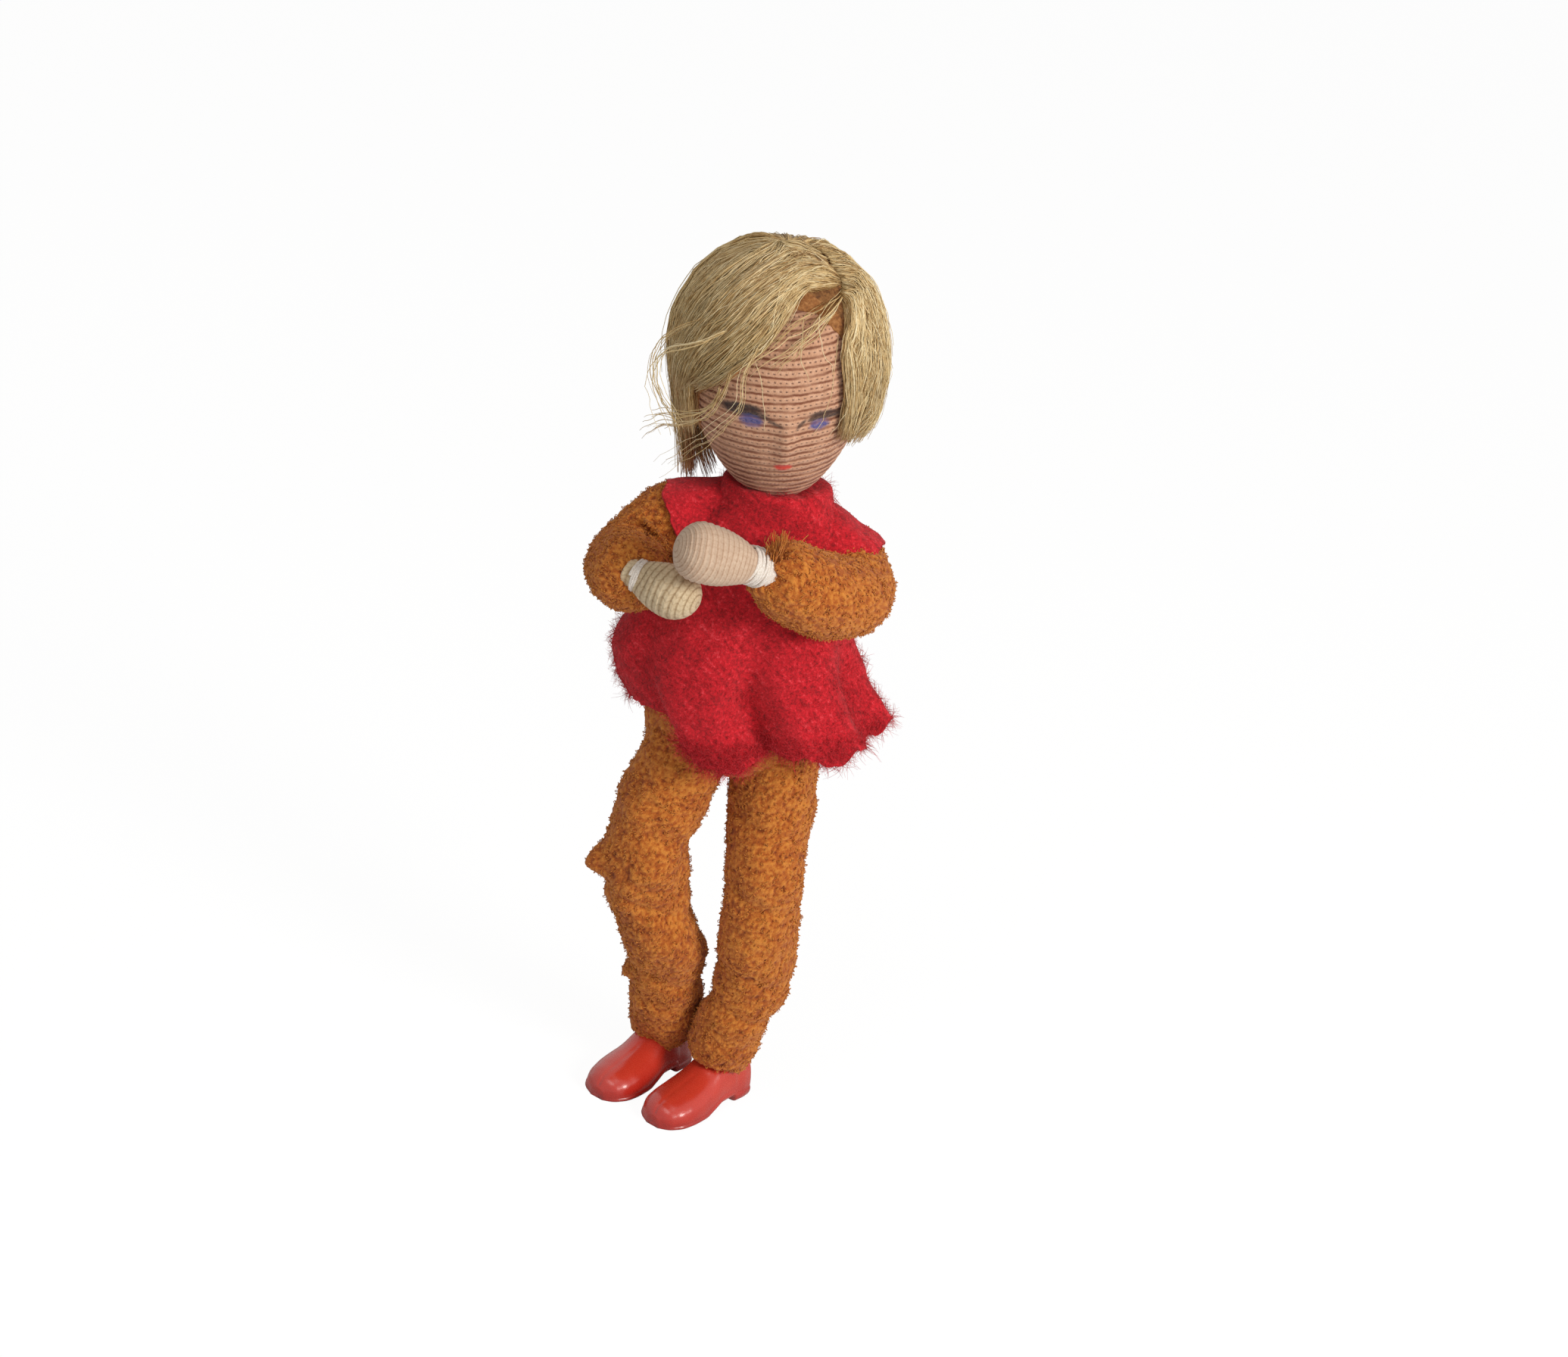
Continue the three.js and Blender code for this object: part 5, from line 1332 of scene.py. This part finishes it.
TERRY, WOOL, JERSEY, HAIR = terry_material(), wool_material(), jersey_material(), hair_material()
VINYL, METAL = vinyl_material(), metal_material()
# the sheet under the hair stands for its inner mass and is coloured darker than the strands: painted shade
# in the depth of the hair
SHADED_UNDERHAIR = grained_material("shaded_undercoat", 1.8, 4, [(0.3, (90, 54, 26)), (0.5, (136, 90, 46)),
                                               (0.75, (182, 134, 82))], (0.7, 0.3), 0.85)
SCALP = grained_material("scalp", 2.6, 5, [(0.25, (104, 60, 26)), (0.5, (150, 96, 48)),
                                           (0.75, (190, 136, 82))], (0.6, 0.2), sheen_weight=0.1)
WOUND = grained_material("thread", 6.0, 3, [(0.3, (214, 200, 186)), (0.7, (246, 240, 232))],
                         (0.6, 0.1), 0.8, sheen_weight=0.2)
KNIT = {
    "right": knit_material("ribbed_knit", [(138, 110, 80), (186, 160, 124), (218, 198, 164)], 0.9, 0.3, 0.8),
    "left": knit_material("plain_knit", [(136, 102, 78), (184, 151, 125), (213, 188, 164)], 0.6, 0.16, 0.5),
}


def build_limbs(side):
    """One side's sleeve, trouser leg, hand, wound thread and shoe."""
    put(f"terry_sleeve_{side}", sleeve(side), TERRY,
        [f"sleeve_{side}", f"upper_arm_padding_{side}", f"forearm_padding_{side}"])
    put(f"terry_leg_{side}", trouser(side), TERRY,
        [f"trouser_leg_{side}", f"thigh_padding_{side}", f"shin_padding_{side}"])
    put(f"knitted_hand_{side}", hand(side), KNIT[side],
        [f"hand_cover_{side}", f"hand_padding_{side}"], ride=f"hand_{side}")
    put(f"wound_thread_{side}", winding(side), WOUND, [f"wrist_tie_{side}"], ride=f"hand_{side}")
    put(f"vinyl_shoe_{side}", shoe(side), VINYL, [f"shoe_{side}", f"foot_padding_{side}"],
        ride=f"foot_{side}")


# The wool's fibres, and the longer ones of the hem over its lowest stretch
NAP, HEM_NAP = dict(length=1.4, radius=0.026, lift=0.42), dict(length=2.1, radius=0.028, lie=0.6)
HEM_STRETCH = 3.2


def build_tunic():
    """A bodice to the waist, a skirt in two halves and the cloth over the shoulders, with their nap."""
    part = cloth_patch(NECK_PLACE, WAIST_PLACE, SEAM_ANGLE - 360, SEAM_ANGLE, closed=True)
    bodice = put("wool_bodice", part, WOOL, ["dress", "chest_padding"])
    nap = fuzz(part, meshed(7400), **NAP)
    put("wool_bodice_nap", nap, WOOL, ["dress"])

    # The halves meet in the deep pleat at the front
    pleat = dress_points(np.array(1.0), np.array(PLEAT_ANGLE), 0.0) - np.array([0, 0, 0.8])
    for side, first, last in (("right", SEAM_ANGLE - 360, PLEAT_ANGLE), ("left", PLEAT_ANGLE, SEAM_ANGLE)):
        part = cloth_patch(WAIST_PLACE, 1, first, last)
        hem = part.points[:, 2].min() + HEM_STRETCH
        nap = joined([fuzz(part, meshed(4200), **NAP),
                      fuzz(part, meshed(2600), keep=lambda p: p[:, 2] < hem, **HEM_NAP)])
        skirt = put(f"wool_skirt_{side}", part, WOOL, ["dress"])
        put(f"wool_skirt_nap_{side}", nap, WOOL, ["dress"])

    for side, flat in (("right", (0.0150, 0.0120)), ("left", (0.0175, 0.0135))):
        part = armhole(side)
        nap = fuzz(part, meshed(900), 1.0, 0.024)
        cloth = put(f"wool_shoulder_{side}", part, WOOL, ["dress"], ride="chest")
        put(f"wool_shoulder_nap_{side}", nap, WOOL, ["dress"], ride="chest")


def build_head():
    """The face, the neck, the scalp and the hair."""
    put("knitted_face", face(), JERSEY, ["face_cover", "head_padding"], ride="head")
    put("knitted_neck", neck(), JERSEY, ["neck_cover"])
    put("scalp_cloth", cap(0.42, 0.97, 0.05, -0.3), SCALP, ["scalp_cap"], ride="head")
    # hair_base: a darker sheet under the strands, painted shade in the depth of the hair
    put("hair_base", cap(0.5, 0.78, 0.3, -0.25), SHADED_UNDERHAIR, ["hair_fringe", "hair_left", "hair_back"],
        ride="head")
    # The third number of each group is its share of painted shadow, for strands that lie in shade
    # The fringe sweeps over the brow from the parting to the doll's right
    mane("hair_fringe_sweep", "hair_fringe", 201, [
        (FRINGE, 1100, 0.35, dict(high=0.62, cross=0.9, ragged=0.45)),
        (FRINGE, 380, 0, dict(high=0.7, cross=2.6, ragged=0.5))])
    mane("hair_top_sweep", "hair_fringe", 211, [
        (FRINGE, 430, 0, dict(low=0.5, high=0.97, thick=0.55, cross=0.8)),
        (FRINGE, 200, 0, dict(low=0.4, cross=2.2)),
        (CROWN, 1130, 0.1, dict(late=0.2, hang=0.85, thick=0.35, cross=0.9))])
    mane("hair_left_fall", "hair_left", 221, [
        (LEFT, 1250, 0, dict(late=0.2, hang=0.15, cross=0.9, ragged=0.5)),
        (LEFT, 360, 0, dict(cross=2.4, hang=0.15, ragged=0.6)),
        (LEFT, 60, 0, dict(high=0.12)),
        (BROW, 18, 0, dict(cross=0.9, floor=0.5))])
    mane("hair_back_fall", "hair_back", 231, [
        (LEFT[-1:] + BACK, 1420, 0.1, dict(cross=0.9, hang=0.6)),
        (LOCK, 460, 0.15, dict(cross=0.9, hang=0.95, ragged=0.25))])
    put("hair_stray", stray_hairs(), HAIR, ["hair_fringe"], ride="head")


bpy.context.scene.view_settings.view_transform = "Standard"
place_camera()
studio()
area_light("key", (0.30, -0.27, 0.24), 0.16, 1.28, (1, 0.975, 0.94))
area_light("fill", (-0.1, -0.25, 0.5), 0.3, 0.56, (1, 0.98, 0.95))
floor()
for name, node in frame["nodes"].items():
    if "wire" in name:
        node.data.materials.clear()
        node.data.materials.append(METAL.material)
for side in SIDES:
    build_limbs(side)
put("terry_seat", seat(), TERRY, ["trousers_seat", "pelvis_padding"], ride="pelvis")
build_tunic()
build_head()
